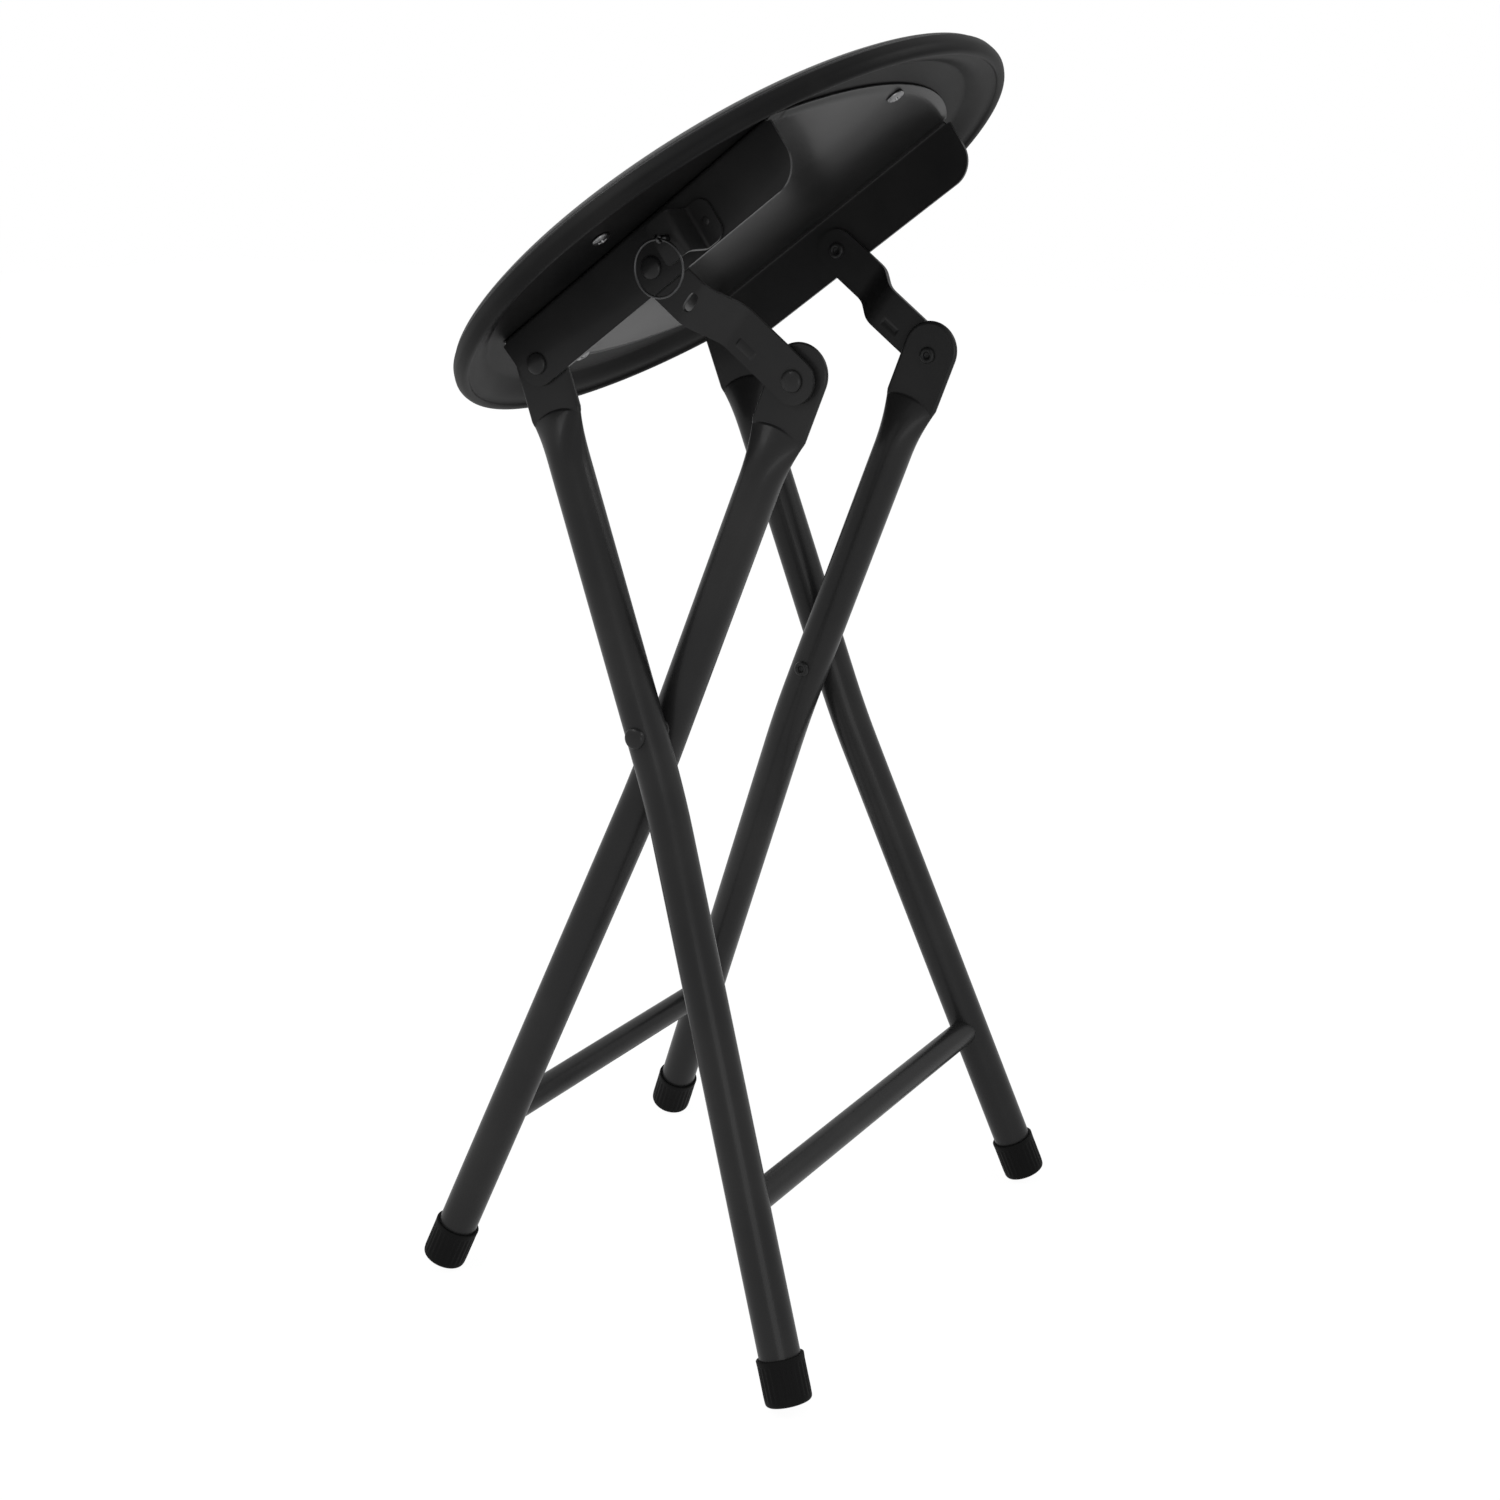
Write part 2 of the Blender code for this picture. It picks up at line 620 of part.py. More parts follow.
def seat_cushion(parent, material):
    """Foam and cover as one crowned pad, drawn in at its edge where it meets the tray."""
    low = board_levels()[1] + GAP
    seam = PAN_TOP + GAP
    edge = SEAT_RADIUS - CUSHION_SET_IN
    profile = [(0, low), (BOARD_RADIUS + 1.5, low), (BOARD_RADIUS + 1.5, seam), (edge - 3, seam)]
    profile += [(edge - 1.2, seam + 0.6), (edge - 0.2, seam + 1.6), (edge - 1.0, seam + 2.8)]
    profile += [(edge - 4.0, CUSHION_EDGE), (edge - 10.0, CUSHION_EDGE + 3.4)]
    inside = edge - 10.0
    for part in (0.82, 0.62, 0.4, 0.2):
        rise = (CUSHION_CROWN - CUSHION_EDGE - 3.4) * (1 - part**2)
        profile.append((inside * part, CUSHION_EDGE + 3.4 + rise))
    profile.append((0, CUSHION_CROWN))
    shape = lathe(profile, 48, (SEAT_CENTRE, 0, 0), (0, 0, 1))
    add_object("seat_cushion", shape, parent, material)


def seat_screw(number, place, parent, material):
    """A pan-head screw up through the channel or tray into the board."""
    s, y = place
    under = CHANNEL_TOP + GAP if abs(y) > CHANNEL_HALF_WIDTH else CHANNEL_TOP - SHEET
    low, high = board_levels()
    top = high - 1.5
    profile = [(0, under - 2.6), (PAN_SCREW_HEAD * 0.55, under - 2.4)]
    profile += [(PAN_SCREW_HEAD * 0.9, under - 1.5), (PAN_SCREW_HEAD, under - GAP)]
    profile += [(PAN_SCREW_RADIUS, under - GAP), (PAN_SCREW_RADIUS, top - 1.5), (0, top)]
    shape = lathe(profile, SMALL_FACET_COUNT, (s, y, 0), (0, 0, 1))
    add_object(f"seat_screw_{number + 1}", shape, parent, material)


def link_path():
    """Centre line of a link in its (along, across) plane, from the channel end to the low end."""
    end = LINK_LENGTH + LINK_HALF_WIDTH
    return [
        (-LINK_HALF_WIDTH, LINK_TOP_Y),
        (JOGGLE_START, LINK_TOP_Y),
        (JOGGLE_END, LINK_LOW_Y),
        (end, LINK_LOW_Y),
    ]


def link(side_name, side, parent, material):
    """A pressed strap with round ends, joggled from inside the flange to outside the inner leg."""
    half = LINK_SHEET / 2
    path = link_path()
    lean = math.atan2(LINK_TOP_Y - LINK_LOW_Y, JOGGLE_END - JOGGLE_START)
    shift = half * math.tan(lean / 2)
    outside = [
        (path[0][0], path[0][1] + half),
        (path[1][0] + shift, path[1][1] + half),
        (path[2][0] + shift, path[2][1] + half),
        (path[3][0], path[3][1] + half),
    ]
    inside = [
        (path[3][0], path[3][1] - half),
        (path[2][0] - shift, path[2][1] - half),
        (path[1][0] - shift, path[1][1] - half),
        (path[0][0], path[0][1] - half),
    ]
    outline = [(x, side * y, -LINK_HALF_WIDTH) for x, y in outside + inside]
    shape = extrude_outline(outline, (0, 0, 2 * LINK_HALF_WIDTH))
    strap = add_object(f"link_{side_name}", shape, parent, material, False)
    trim = arc((LINK_LENGTH, 0), LINK_HALF_WIDTH, -90, 90, 14)
    trim += arc((0, 0), LINK_HALF_WIDTH, 90, 270, 14)
    low = LINK_LOW_Y - 5
    plan = [(x, side * low, z) for x, z in trim]
    keep = extrude_outline(plan, (0, side * (LINK_TOP_Y - LINK_LOW_Y + 10), 0))
    keeper = add_object(f"keep_link_{side_name}", keep, parent, None, False, True)
    cut(strap, keeper, "INTERSECT")
    hole = RIVET_RADIUS + RIVET_CLEARANCE
    for label, x, y in (("top", 0.0, LINK_TOP_Y), ("low", LINK_LENGTH, LINK_LOW_Y)):
        cutter = cylinder(hole, (x, side * (y - 5), 0), (x, side * (y + 5), 0))
        name = f"cut_link_{label}_{side_name}"
        cut(strap, add_object(name, cutter, parent, None, False, True))
    return strap


def link_slot(strap, side, parent):
    """The slot that the lock pin enters, which only the link beside the lock has."""
    corners = arc((LOCK_DISTANCE, SLOT_HEIGHT / 2 - SLOT_WIDTH / 2), SLOT_WIDTH / 2, 0, 180, 8)
    corners += arc((LOCK_DISTANCE, SLOT_WIDTH / 2 - SLOT_HEIGHT / 2), SLOT_WIDTH / 2, 180, 360, 8)
    slot = [(x, side * (LINK_TOP_Y - 4), z) for x, z in corners]
    cutter = extrude_outline(slot, (0, side * 8, 0))
    cut(strap, add_object("cut_link_slot", cutter, parent, None, False, True))


def lock_plate_span():
    """Start and end of the lock bracket's outer plate, along the channel."""
    middle = LINK_LENGTH + LOCK_DISTANCE
    return middle - LOCK_PLATE_LENGTH / 2, middle + LOCK_PLATE_LENGTH / 2


def lock_tab_rivet():
    """Place of the small rivet in the lock bracket's foot, along the channel."""
    return lock_plate_span()[1] + LOCK_TAB_LENGTH / 2


def lock_bracket(parent, material):
    """A bent strap: a foot on the flange, a riser, and an outer plate that carries the pin."""
    start, end = lock_plate_span()
    foot = CHANNEL_HALF_WIDTH + GAP
    top = CHANNEL_HALF_WIDTH + LOCK_RISE
    tab_end = end + LOCK_TAB_LENGTH
    thick = LOCK_SHEET
    outline = [(start, top), (end, top), (end, foot + thick), (tab_end, foot + thick)]
    outline += [(tab_end, foot), (end - thick, foot), (end - thick, top - thick)]
    outline += [(start, top - thick)]
    points = [(s, -y, -LOCK_HALF_WIDTH) for s, y in outline]
    shape = extrude_outline(points, (0, 0, 2 * LOCK_HALF_WIDTH))
    strap = add_object("lock_bracket", shape, parent, material, False)
    middle = LINK_LENGTH + LOCK_DISTANCE
    holes = [(middle, PIN_RADIUS, top), (lock_tab_rivet(), LOCK_RIVET_RADIUS, foot)]
    for number, (s, radius, y) in enumerate(holes):
        cutter = cylinder(radius + RIVET_CLEARANCE, (s, -y - 5, 0), (s, -y + 5, 0))
        name = f"cut_lock_{number}"
        cut(strap, add_object(name, cutter, parent, None, False, True))


def lock_rivet(parent, material):
    """The small rivet through the lock bracket's foot and the flange."""
    outer = CHANNEL_HALF_WIDTH + GAP + LOCK_SHEET + GAP
    inner = FLANGE_INSIDE - GAP
    radius = LOCK_RIVET_RADIUS
    profile = [(0, outer + 1.2), (radius * 1.1, outer + 0.9), (radius * 1.7, outer)]
    profile += [(radius, outer), (radius, inner), (radius * 1.5, inner)]
    profile += [(radius * 1.4, inner - 1.0), (0, inner - 1.0)]
    shape = lathe(profile, SMALL_FACET_COUNT, (lock_tab_rivet(), 0, 0), (0, -1, 0))
    add_object("lock_bracket_rivet", shape, parent, material)


def eye_distance():
    """Distance of the pin's eye from the middle plane."""
    return CHANNEL_HALF_WIDTH + LOCK_RISE + PIN_TRAVEL + 4.0


def collar_distance():
    """Distance of the collar's inner face from the middle plane, with the pin drawn back."""
    return CHANNEL_HALF_WIDTH + PIN_TRAVEL + 3.0


def lock_pin(parent, material):
    """The sprung pin: a rod with a spring collar, and an eye at its outer end for the ring."""
    tip = FLANGE_INSIDE + 0.5
    eye = eye_distance()
    collar = collar_distance()
    neck = CHANNEL_HALF_WIDTH + LOCK_RISE + PIN_TRAVEL + GAP
    profile = [(0, tip), (PIN_RADIUS - 0.6, tip), (PIN_RADIUS, tip + 0.8), (PIN_RADIUS, collar)]
    profile += [(PIN_COLLAR_RADIUS, collar), (PIN_COLLAR_RADIUS, collar + PIN_COLLAR_THICKNESS)]
    profile += [(PIN_RADIUS, collar + PIN_COLLAR_THICKNESS), (PIN_RADIUS, neck)]
    profile += [(PIN_EYE_RADIUS, neck + 0.8), (PIN_EYE_RADIUS, eye + 2.2)]
    profile += [(PIN_EYE_RADIUS - 0.8, eye + 3.0), (0, eye + 3.2)]
    shape = lathe(profile, SMALL_FACET_COUNT, (0, 0, 0), (0, -1, 0))
    pin = add_object("lock_pin", shape, parent, material)
    reach = 2 * PIN_EYE_RADIUS
    across = Vector((math.cos(SEAT_TURN), 0.0, math.sin(SEAT_TURN))) * reach
    centre = Vector((0.0, -eye, 0.0))
    cutter = cylinder(RING_WIRE + 0.65, centre - across, centre + across)
    cut(pin, add_object("cut_pin_eye", cutter, parent, None, False, True))


def lock_spring(parent, material):
    """The coil spring between the collar and the outer plate, squeezed as the pin is drawn back."""
    start = collar_distance() + PIN_COLLAR_THICKNESS + SPRING_WIRE + GAP
    end = CHANNEL_HALF_WIDTH + LOCK_RISE - LOCK_SHEET - SPRING_WIRE - GAP
    per_turn = 9
    count = SPRING_TURNS * per_turn + 1
    line = bpy.data.curves.new("lock_spring", "CURVE")
    line.dimensions = "3D"
    line.bevel_depth = SPRING_WIRE * MM
    line.bevel_resolution = 1
    line.use_fill_caps = True
    spline = line.splines.new("POLY")
    spline.points.add(count - 1)
    points = []
    for index in range(count):
        turn = 2 * math.pi * index / per_turn
        y = -(start + (end - start) * index / (count - 1))
        place = Vector((SPRING_RADIUS * math.cos(turn), y, SPRING_RADIUS * math.sin(turn)))
        points.append(place)
        spline.points[index].co = (*(place * MM), 1.0)
    nearest = min(
        (points[i] - points[j]).length - 2 * SPRING_WIRE
        for i in range(count)
        for j in range(i + per_turn - 2, count)
    )
    print(f"lock_spring: least gap between turns {nearest:.2f} mm")
    line.materials.append(material)
    spring = bpy.data.objects.new("lock_spring", line)
    bpy.context.scene.collection.objects.link(spring)
    spring.parent = parent


def pull_ring(parent, material):
    """The wire ring that hangs through the pin's eye."""
    shape = bmesh.new()
    rows = []
    for step in range(FACET_COUNT):
        angle = 2 * math.pi * step / FACET_COUNT
        outward = Vector((math.sin(angle), 0.0, math.cos(angle)))
        centre = Vector((0.0, 0.0, -RING_RADIUS)) + outward * RING_RADIUS
        ring = []
        for corner in range(8):
            turn = 2 * math.pi * corner / 8
            offset = outward * math.cos(turn) + Vector((0.0, 1.0, 0.0)) * math.sin(turn)
            ring.append(shape.verts.new(centre + offset * RING_WIRE))
        rows.append(ring)
    for row, following in zip(rows, rows[1:] + rows[:1]):
        for corner in range(8):
            after = (corner + 1) % 8
            shape.faces.new((row[corner], row[after], following[after], following[corner]))
    add_object("pull_ring", shape, parent, material)


def settle_on_origin(stool):
    """Moves the whole stool so that the middle of its base is at the origin."""
    bpy.context.view_layer.update()
    graph = bpy.context.evaluated_depsgraph_get()
    corners = []
    for thing in bpy.context.scene.objects:
        if thing.type == "EMPTY" or thing.hide_render:
            continue
        shown = thing.evaluated_get(graph)
        mesh = shown.to_mesh()
        corners += [shown.matrix_world @ vertex.co for vertex in mesh.vertices]
        shown.to_mesh_clear()
    low = [min(corner[axis] for corner in corners) for axis in range(3)]
    high = [max(corner[axis] for corner in corners) for axis in range(3)]
    middle = (low[0] + high[0]) / 2
    stool.location -= Vector((middle, 0.0, low[2]))


def build():
    """Makes every piece, frame by frame."""
    clear_scene()
    paint = metal("black_paint", (0.022, 0.022, 0.024), 0.35, 0.0)
    satin = metal("tray_black", (0.03, 0.03, 0.031), 0.4, 0.0)
    vinyl = metal("vinyl_black", (0.018, 0.018, 0.019), 0.5, 0.0)
    rubber = metal("rubber_black", (0.012, 0.012, 0.012), 0.7, 0.0)
    ply = metal("plywood", (0.35, 0.24, 0.14), 0.7, 0.0)
    zinc = metal("zinc", (0.55, 0.55, 0.56), 0.3, 1.0)
    wire = metal("dark_wire", (0.07, 0.07, 0.072), 0.35, 1.0)
    nylon = metal("nylon_black", (0.02, 0.02, 0.02), 0.5, 0.0)

    stool = empty("stool")
    seat = empty("seat", stool, PIVOT_A, SEAT_TURN)
    outer_pivot = empty("outer_pivot", seat)
    link_pivot = empty("link_pivot", seat, (LINK_LENGTH, 0.0, 0.0))
    links = empty("links", stool, PIVOT_C, LINK_TURN)
    link_end = empty("link_end", links, (LINK_LENGTH, 0.0, 0.0))
    outer_legs = empty("outer_legs", stool, PIVOT_A, OUTER_TURN)
    cross_pivot = empty("cross_pivot", outer_legs, (0.0, 0.0, -CROSS_TO_TOP))
    inner_legs = empty("inner_legs", stool, CROSS, INNER_TURN)
    inner_top = empty("inner_top", inner_legs, (0.0, 0.0, CROSS_TO_TOP))
    pin_frame = empty("pin_frame", seat, (LINK_LENGTH + LOCK_DISTANCE, 0.0, 0.0))
    ring_frame = empty("ring_frame", pin_frame, (0.0, -eye_distance(), 0.0), -SEAT_TURN)

    seat_bracket(seat, paint)
    seat_pan(seat, satin)
    seat_board(seat, ply)
    seat_cushion(seat, vinyl)
    for number, place in enumerate(pan_screw_places()):
        seat_screw(number, place, seat, zinc)
    lock_bracket(seat, paint)
    lock_rivet(seat, paint)
    lock_pin(pin_frame, wire)
    lock_spring(pin_frame, wire)
    pull_ring(ring_frame, wire)

    flat = FLAT_HALF_THICKNESS
    outer_cross = OUTER_LINE(CROSS_TO_TOP)
    inner_cross = INNER_LINE(CROSS_TO_TOP)
    for name, side in SIDES.items():
        leg_tube(f"outer_leg_{name}", OUTER_LINE, OUTER_LENGTH, OUTER_TIP, side, outer_legs, paint)
        leg_tube(f"inner_leg_{name}", INNER_LINE, INNER_LENGTH, INNER_TIP, side, inner_top, paint)
        foot_cap(f"outer_foot_{name}", OUTER_LINE, OUTER_LENGTH, OUTER_END, side, outer_legs, rubber)
        foot_cap(f"inner_foot_{name}", INNER_LINE, INNER_LENGTH, INNER_END, side, inner_top, rubber)
        strap = link(name, side, links, paint)
        if side == SIDES["left"]:
            link_slot(strap, side, links)
        face = CHANNEL_HALF_WIDTH
        back = OUTER_TOP_Y - flat
        rivet(f"outer_leg_rivet_{name}", side, face, back, outer_pivot, paint)
        back = LINK_TOP_Y - LINK_SHEET / 2
        rivet(f"link_top_rivet_{name}", side, face, back, link_pivot, paint)
        face = outer_cross + TUBE_RADIUS + GAP
        back = inner_cross - TUBE_RADIUS - GAP
        rivet(f"cross_rivet_{name}", side, face, back, cross_pivot, paint)
        start = inner_cross + TUBE_RADIUS + GAP
        end = outer_cross - TUBE_RADIUS - 2 * GAP
        washer(f"cross_washer_{name}", side, start, end, CROSS_WASHER_RADIUS, cross_pivot, nylon)
        start = INNER_FACE_Y + GAP
        end = start + WASHER
        washer(f"link_washer_{name}", side, start, end, LINK_WASHER_RADIUS, link_end, zinc)
        face = LINK_LOW_Y + LINK_SHEET / 2
        rivet_head(f"link_low_rivet_head_{name}", side, face, start, link_end, paint)
        back = INNER_TOP_Y - flat
        rivet_tail(f"link_low_rivet_tail_{name}", side, INNER_FACE_Y, back, inner_top, paint)
    crossbar("outer_crossbar", OUTER_LINE, OUTER_LENGTH, outer_legs, paint)
    crossbar("inner_crossbar", INNER_LINE, INNER_LENGTH, inner_top, paint)
    settle_on_origin(stool)


build()
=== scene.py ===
"""Finished surfaces, finishes and photo set of a round folding stool.

The stool stands part-folded: a padded round seat on a pressed channel, an outer and an inner pair of
bent legs that cross, two joggled links, and a sprung lock pin with a wire ring. Lengths are in
millimetres inside each class, and Place carries them into the object's own frame in metres.
Bare numbers in an outline are small offsets in millimetres from the named sizes, and those in
linspace and quarter are counts of points.
"""

from __future__ import annotations

import logging
import math
from dataclasses import dataclass
from enum import Enum

import bmesh
import bpy
import numpy as np
from mathutils import Matrix, Vector


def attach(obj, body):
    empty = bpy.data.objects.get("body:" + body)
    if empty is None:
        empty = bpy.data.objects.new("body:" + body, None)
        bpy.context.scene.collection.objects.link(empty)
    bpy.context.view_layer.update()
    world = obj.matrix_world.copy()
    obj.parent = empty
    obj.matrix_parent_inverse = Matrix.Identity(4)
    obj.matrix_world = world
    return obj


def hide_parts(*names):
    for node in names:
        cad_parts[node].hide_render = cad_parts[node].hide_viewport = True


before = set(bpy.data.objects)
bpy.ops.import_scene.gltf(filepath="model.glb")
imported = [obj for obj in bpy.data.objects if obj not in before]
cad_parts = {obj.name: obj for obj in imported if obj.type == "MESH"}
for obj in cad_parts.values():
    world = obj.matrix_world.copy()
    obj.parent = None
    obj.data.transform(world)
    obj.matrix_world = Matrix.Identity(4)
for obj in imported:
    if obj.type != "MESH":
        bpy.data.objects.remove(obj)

MM = 0.001
LOG = logging.getLogger("folding_stool")

Colour = tuple[float, float, float]
Triple = tuple[float, float, float]
Span = tuple[float, float]
Piece = bpy.types.Object
Material = bpy.types.Material
Node = bpy.types.Node
Socket = bpy.types.NodeSocket


class Side(Enum):
    """The two sides of the stool, with the sign of Y on each."""

    LEFT = -1.0
    RIGHT = 1.0

    @property
    def word(self) -> str:
        """Gives the word that the solids' names end with."""
        return self.name.lower()


class Axis(Enum):
    """The axis that a turned shape is turned about."""

    ACROSS = "across"
    UPRIGHT = "upright"


class Slot(Enum):
    """The slots of the record that the pieces take their finish from."""

    PAINT = "paint"
    TRAY = "tray"
    VINYL = "vinyl"
    PLYWOOD = "plywood"
    ZINC = "zinc"
    WIRE = "wire"
    RUBBER = "rubber"
    NYLON = "nylon"


@dataclass(frozen=True)
class Place:
    """A frame of the linkage: its origin in metres and its turn about Y in degrees."""

    origin: Triple
    turn: float = 0.0

    def world(self, points: np.ndarray) -> np.ndarray:
        """Carries points from this frame to the object's frame.

        x' = x cos t + z sin t and z' = z cos t - x sin t, then the origin is added.

        Args:
            points: positions in millimetres, with x, y and z last.

        Returns:
            The same positions in metres in the object's frame.
        """
        angle = math.radians(self.turn)
        x, y, z = points[..., 0], points[..., 1], points[..., 2]
        across = x * math.cos(angle) + z * math.sin(angle)
        up = z * math.cos(angle) - x * math.sin(angle)
        return np.stack((across, y, up), axis=-1) * MM + np.asarray(self.origin)

    def local(self, points: np.ndarray) -> np.ndarray:
        """Carries points in metres from the object's frame back to this one, in millimetres."""
        angle = math.radians(self.turn)
        x, y, z = np.moveaxis(points - np.asarray(self.origin), -1, 0)
        along = x * math.cos(angle) - z * math.sin(angle)
        up = x * math.sin(angle) + z * math.cos(angle)
        return np.stack((along, y, up), axis=-1) / MM


SEAT = Place((-0.065734, 0.0, 0.597331), -35.294543)
OUTER = Place((-0.065734, 0.0, 0.597331), -19.384717)
INNER = Place((0.094177, 0.0, 0.593939), 21.815283)
LINKS = Place((0.015477, 0.0, 0.654821), 37.725109)
CROSSING = Place((0.009709, 0.0, 0.382917), -19.384717)
LINK_END = Place((0.094177, 0.0, 0.593939), 37.725109)
PIN = Place((0.039963, 0.0, 0.672154), -35.294543)
EYE = Place((0.039963, -0.1425, 0.672154))


# Surfaces on grids


def grid_faces(rows: int, columns: int, wrap_rows: bool, wrap_columns: bool) -> np.ndarray:
    """Numbers the four corners of each face of a grid of points, row after row.

    Args:
        rows: rows of points.
        columns: points in each row.
        wrap_rows: whether the last row joins the first.
        wrap_columns: whether each row joins its own start.

    Returns:
        An array with four point numbers for each face.
    """
    down = np.arange(rows if wrap_rows else rows - 1)
    along = np.arange(columns if wrap_columns else columns - 1)
    i, j = np.meshgrid(down, along, indexing="ij")
    after_i, after_j = (i + 1) % rows, (j + 1) % columns
    corners = (i * columns + j, i * columns + after_j, after_i * columns + after_j, after_i * columns + j)
    return np.stack(corners, axis=-1).reshape(-1, 4)


class Shell:
    """Grids of points that become one mesh, with their shared edges welded."""

    def __init__(self) -> None:
        """Starts with no grid."""
        self.points: list[np.ndarray] = []
        self.faces: list[np.ndarray] = []
        self.count = 0

    def add(self, grid: np.ndarray, wrap_rows: bool = False, wrap_columns: bool = False) -> "Shell":
        """Adds a grid of points in millimetres.

        Args:
            grid: positions, by row, by column, then x, y and z.
            wrap_rows: whether the last row joins the first.
            wrap_columns: whether each row joins its own start.

        Returns:
            This shell, so that calls can follow each other.
        """
        rows, columns = grid.shape[:2]
        self.faces.append(grid_faces(rows, columns, wrap_rows, wrap_columns) + self.count)
        self.points.append(np.asarray(grid, dtype=float).reshape(-1, 3))
        self.count += rows * columns
        return self

    def to_object(self, name: str, place: Place, sharp: float = 35.0) -> Piece:
        """Writes the grids to a mesh object whose place is in its mesh.

        Args:
            name: name of the new object.
            place: frame that the grids are in.
            sharp: angle in degrees past which an edge is left sharp.

        Returns:
            The new object, linked to the scene.
        """
        points = place.world(np.concatenate(self.points))
        faces = np.concatenate(self.faces)
        mesh = bpy.data.meshes.new(name)
        mesh.vertices.add(len(points))
        mesh.vertices.foreach_set("co", points.ravel())
        mesh.loops.add(faces.size)
        mesh.loops.foreach_set("vertex_index", faces.ravel())
        mesh.polygons.add(len(faces))
        mesh.polygons.foreach_set("loop_start", np.arange(0, faces.size, 4))
        mesh.update(calc_edges=True)
        weld(mesh)
        mesh.shade_smooth()
        mesh.set_sharp_from_angle(angle=math.radians(sharp))
        thing = bpy.data.objects.new(name, mesh)
        bpy.context.scene.collection.objects.link(thing)
        return thing


def weld(mesh: bpy.types.Mesh, distance: float = 2e-6) -> None:
    """Merges points that lie within a distance in metres, and turns every face outwards."""
    shape = bmesh.new()
    shape.from_mesh(mesh)
    bmesh.ops.remove_doubles(shape, verts=shape.verts, dist=distance)
    bmesh.ops.recalc_face_normals(shape, faces=shape.faces)
    shape.to_mesh(mesh)
    shape.free()
    mesh.update()


def smooth_step(values: np.ndarray, start: float, end: float) -> np.ndarray:
    """Rises from 0 to 1 between two values, as 3t^2 - 2t^3 of the part t that is done."""
    part = np.clip((np.asarray(values, dtype=float) - start) / (end - start), 0.0, 1.0)
    return part * part * (3.0 - 2.0 * part)


def around(count: int, shift: float = 0.0) -> np.ndarray:
    """Gives even angles all the way round, the first one shift steps past 0."""
    return (np.arange(count) + shift) * 2 * math.pi / count


def quarter(count: int) -> np.ndarray:
    """Gives even angles from 0 to a right angle."""
    return np.linspace(0.0, math.pi / 2, count)


def positions(*parts: np.ndarray | float) -> np.ndarray:
    """Joins coordinates, spread to one shape, into points."""
    return np.stack(np.broadcast_arrays(*parts), axis=-1)


def read_points(mesh: bpy.types.Mesh) -> np.ndarray:
    """Reads the points of a mesh, as rows of x, y and z in metres."""
    flat = np.empty(len(mesh.vertices) * 3)
    mesh.vertices.foreach_get("co", flat)
    return flat.reshape(-1, 3)


def write_points(mesh: bpy.types.Mesh, points: np.ndarray) -> None:
    """Writes the points of a mesh."""
    mesh.vertices.foreach_set("co", points.ravel())
    mesh.update()


def rounded_line(corners: list[tuple[float, float, float]], steps: int = 6) -> np.ndarray:
    """Rounds the corners of a flat line.

    Each corner P between the cut points A and B becomes (1-t)^2 A + 2t(1-t) P + t^2 B, where A and B
    lie at the corner's radius from P, but never past 0.48 of a side.

    Args:
        corners: (u, v, radius) of each corner. The first and last corner are kept as they are.
        steps: pieces that each rounded corner is made of.

    Returns:
        Points as rows of (u, v).
    """
    data = np.asarray(corners, dtype=float)
    part = np.linspace(0.0, 1.0, steps + 1)[:, None]
    found = [data[:1, :2]]
    for before, corner, after in zip(data, data[1:], data[2:]):
        back, ahead = before[:2] - corner[:2], after[:2] - corner[:2]
        long_back, long_ahead = np.linalg.norm(back), np.linalg.norm(ahead)
        first = corner[:2] + back / long_back * min(corner[2], 0.48 * long_back)
        last = corner[:2] + ahead / long_ahead * min(corner[2], 0.48 * long_ahead)
        found.append((1 - part) ** 2 * first + 2 * part * (1 - part) * corner[:2] + part**2 * last)
    found.append(data[-1:, :2])
    return np.concatenate(found)


def revolve(
    line: np.ndarray, count: int, axis: Axis, sign: float = 1.0, shift: float = 0.3
) -> np.ndarray:
    """Turns a line of (radius, height) about an axis.

    A point is (r cos a, r sin a) across the axis and h along it, for angles a all the way round.

    Args:
        line: rows of (radius, height).
        count: points round the axis.
        axis: the axis, which is Y or Z of the frame.
        sign: direction of the height on that axis.
        shift: where the first point is, in steps past 0.

    Returns:
        A grid with a row for each point of the line, whose columns wrap.
    """
    angle = around(count, shift)
    radius, height = line[:, :1], line[:, 1:] * sign
    first, second = radius * np.cos(angle), radius * np.sin(angle)
    if axis is Axis.ACROSS:
        return positions(first, height, second)
    return positions(first, second, height)


def sweep(path: np.ndarray, radius: float, count: int, closed: bool) -> np.ndarray:
    """Carries a circle along a path.

    At each point the circle lies across the tangent T, on the axes N = T x U and T x N, where U is
    the axis of the frame that the path as a whole turns about. An open path gets a pole at each end.

    Args:
        path: points of the path.
        radius: radius of the circle.
        count: points round the circle.
        closed: whether the path ends where it starts.

    Returns:
        A grid with a row for each point of the path, whose columns wrap.
    """
    if closed:
        tangent = np.roll(path, -1, axis=0) - np.roll(path, 1, axis=0)
    else:
        tangent = np.gradient(path, axis=0)
    tangent /= np.linalg.norm(tangent, axis=1, keepdims=True)
    spread = np.ptp(path, axis=0)
    up = np.eye(3)[int(np.argmin(spread))] if closed else np.array((0.0, 1.0, 0.0))
    normal = np.cross(tangent, up)
    normal /= np.linalg.norm(normal, axis=1, keepdims=True)
    other = np.cross(tangent, normal)
    angle = around(count)[None, :, None]
    grid = path[:, None] + radius * (normal[:, None] * np.cos(angle) + other[:, None] * np.sin(angle))
    if closed:
        return grid
    first = np.broadcast_to(path[:1, None], (1, count, 3))
    last = np.broadcast_to(path[-1:, None], (1, count, 3))
    return np.concatenate((first, grid, last))


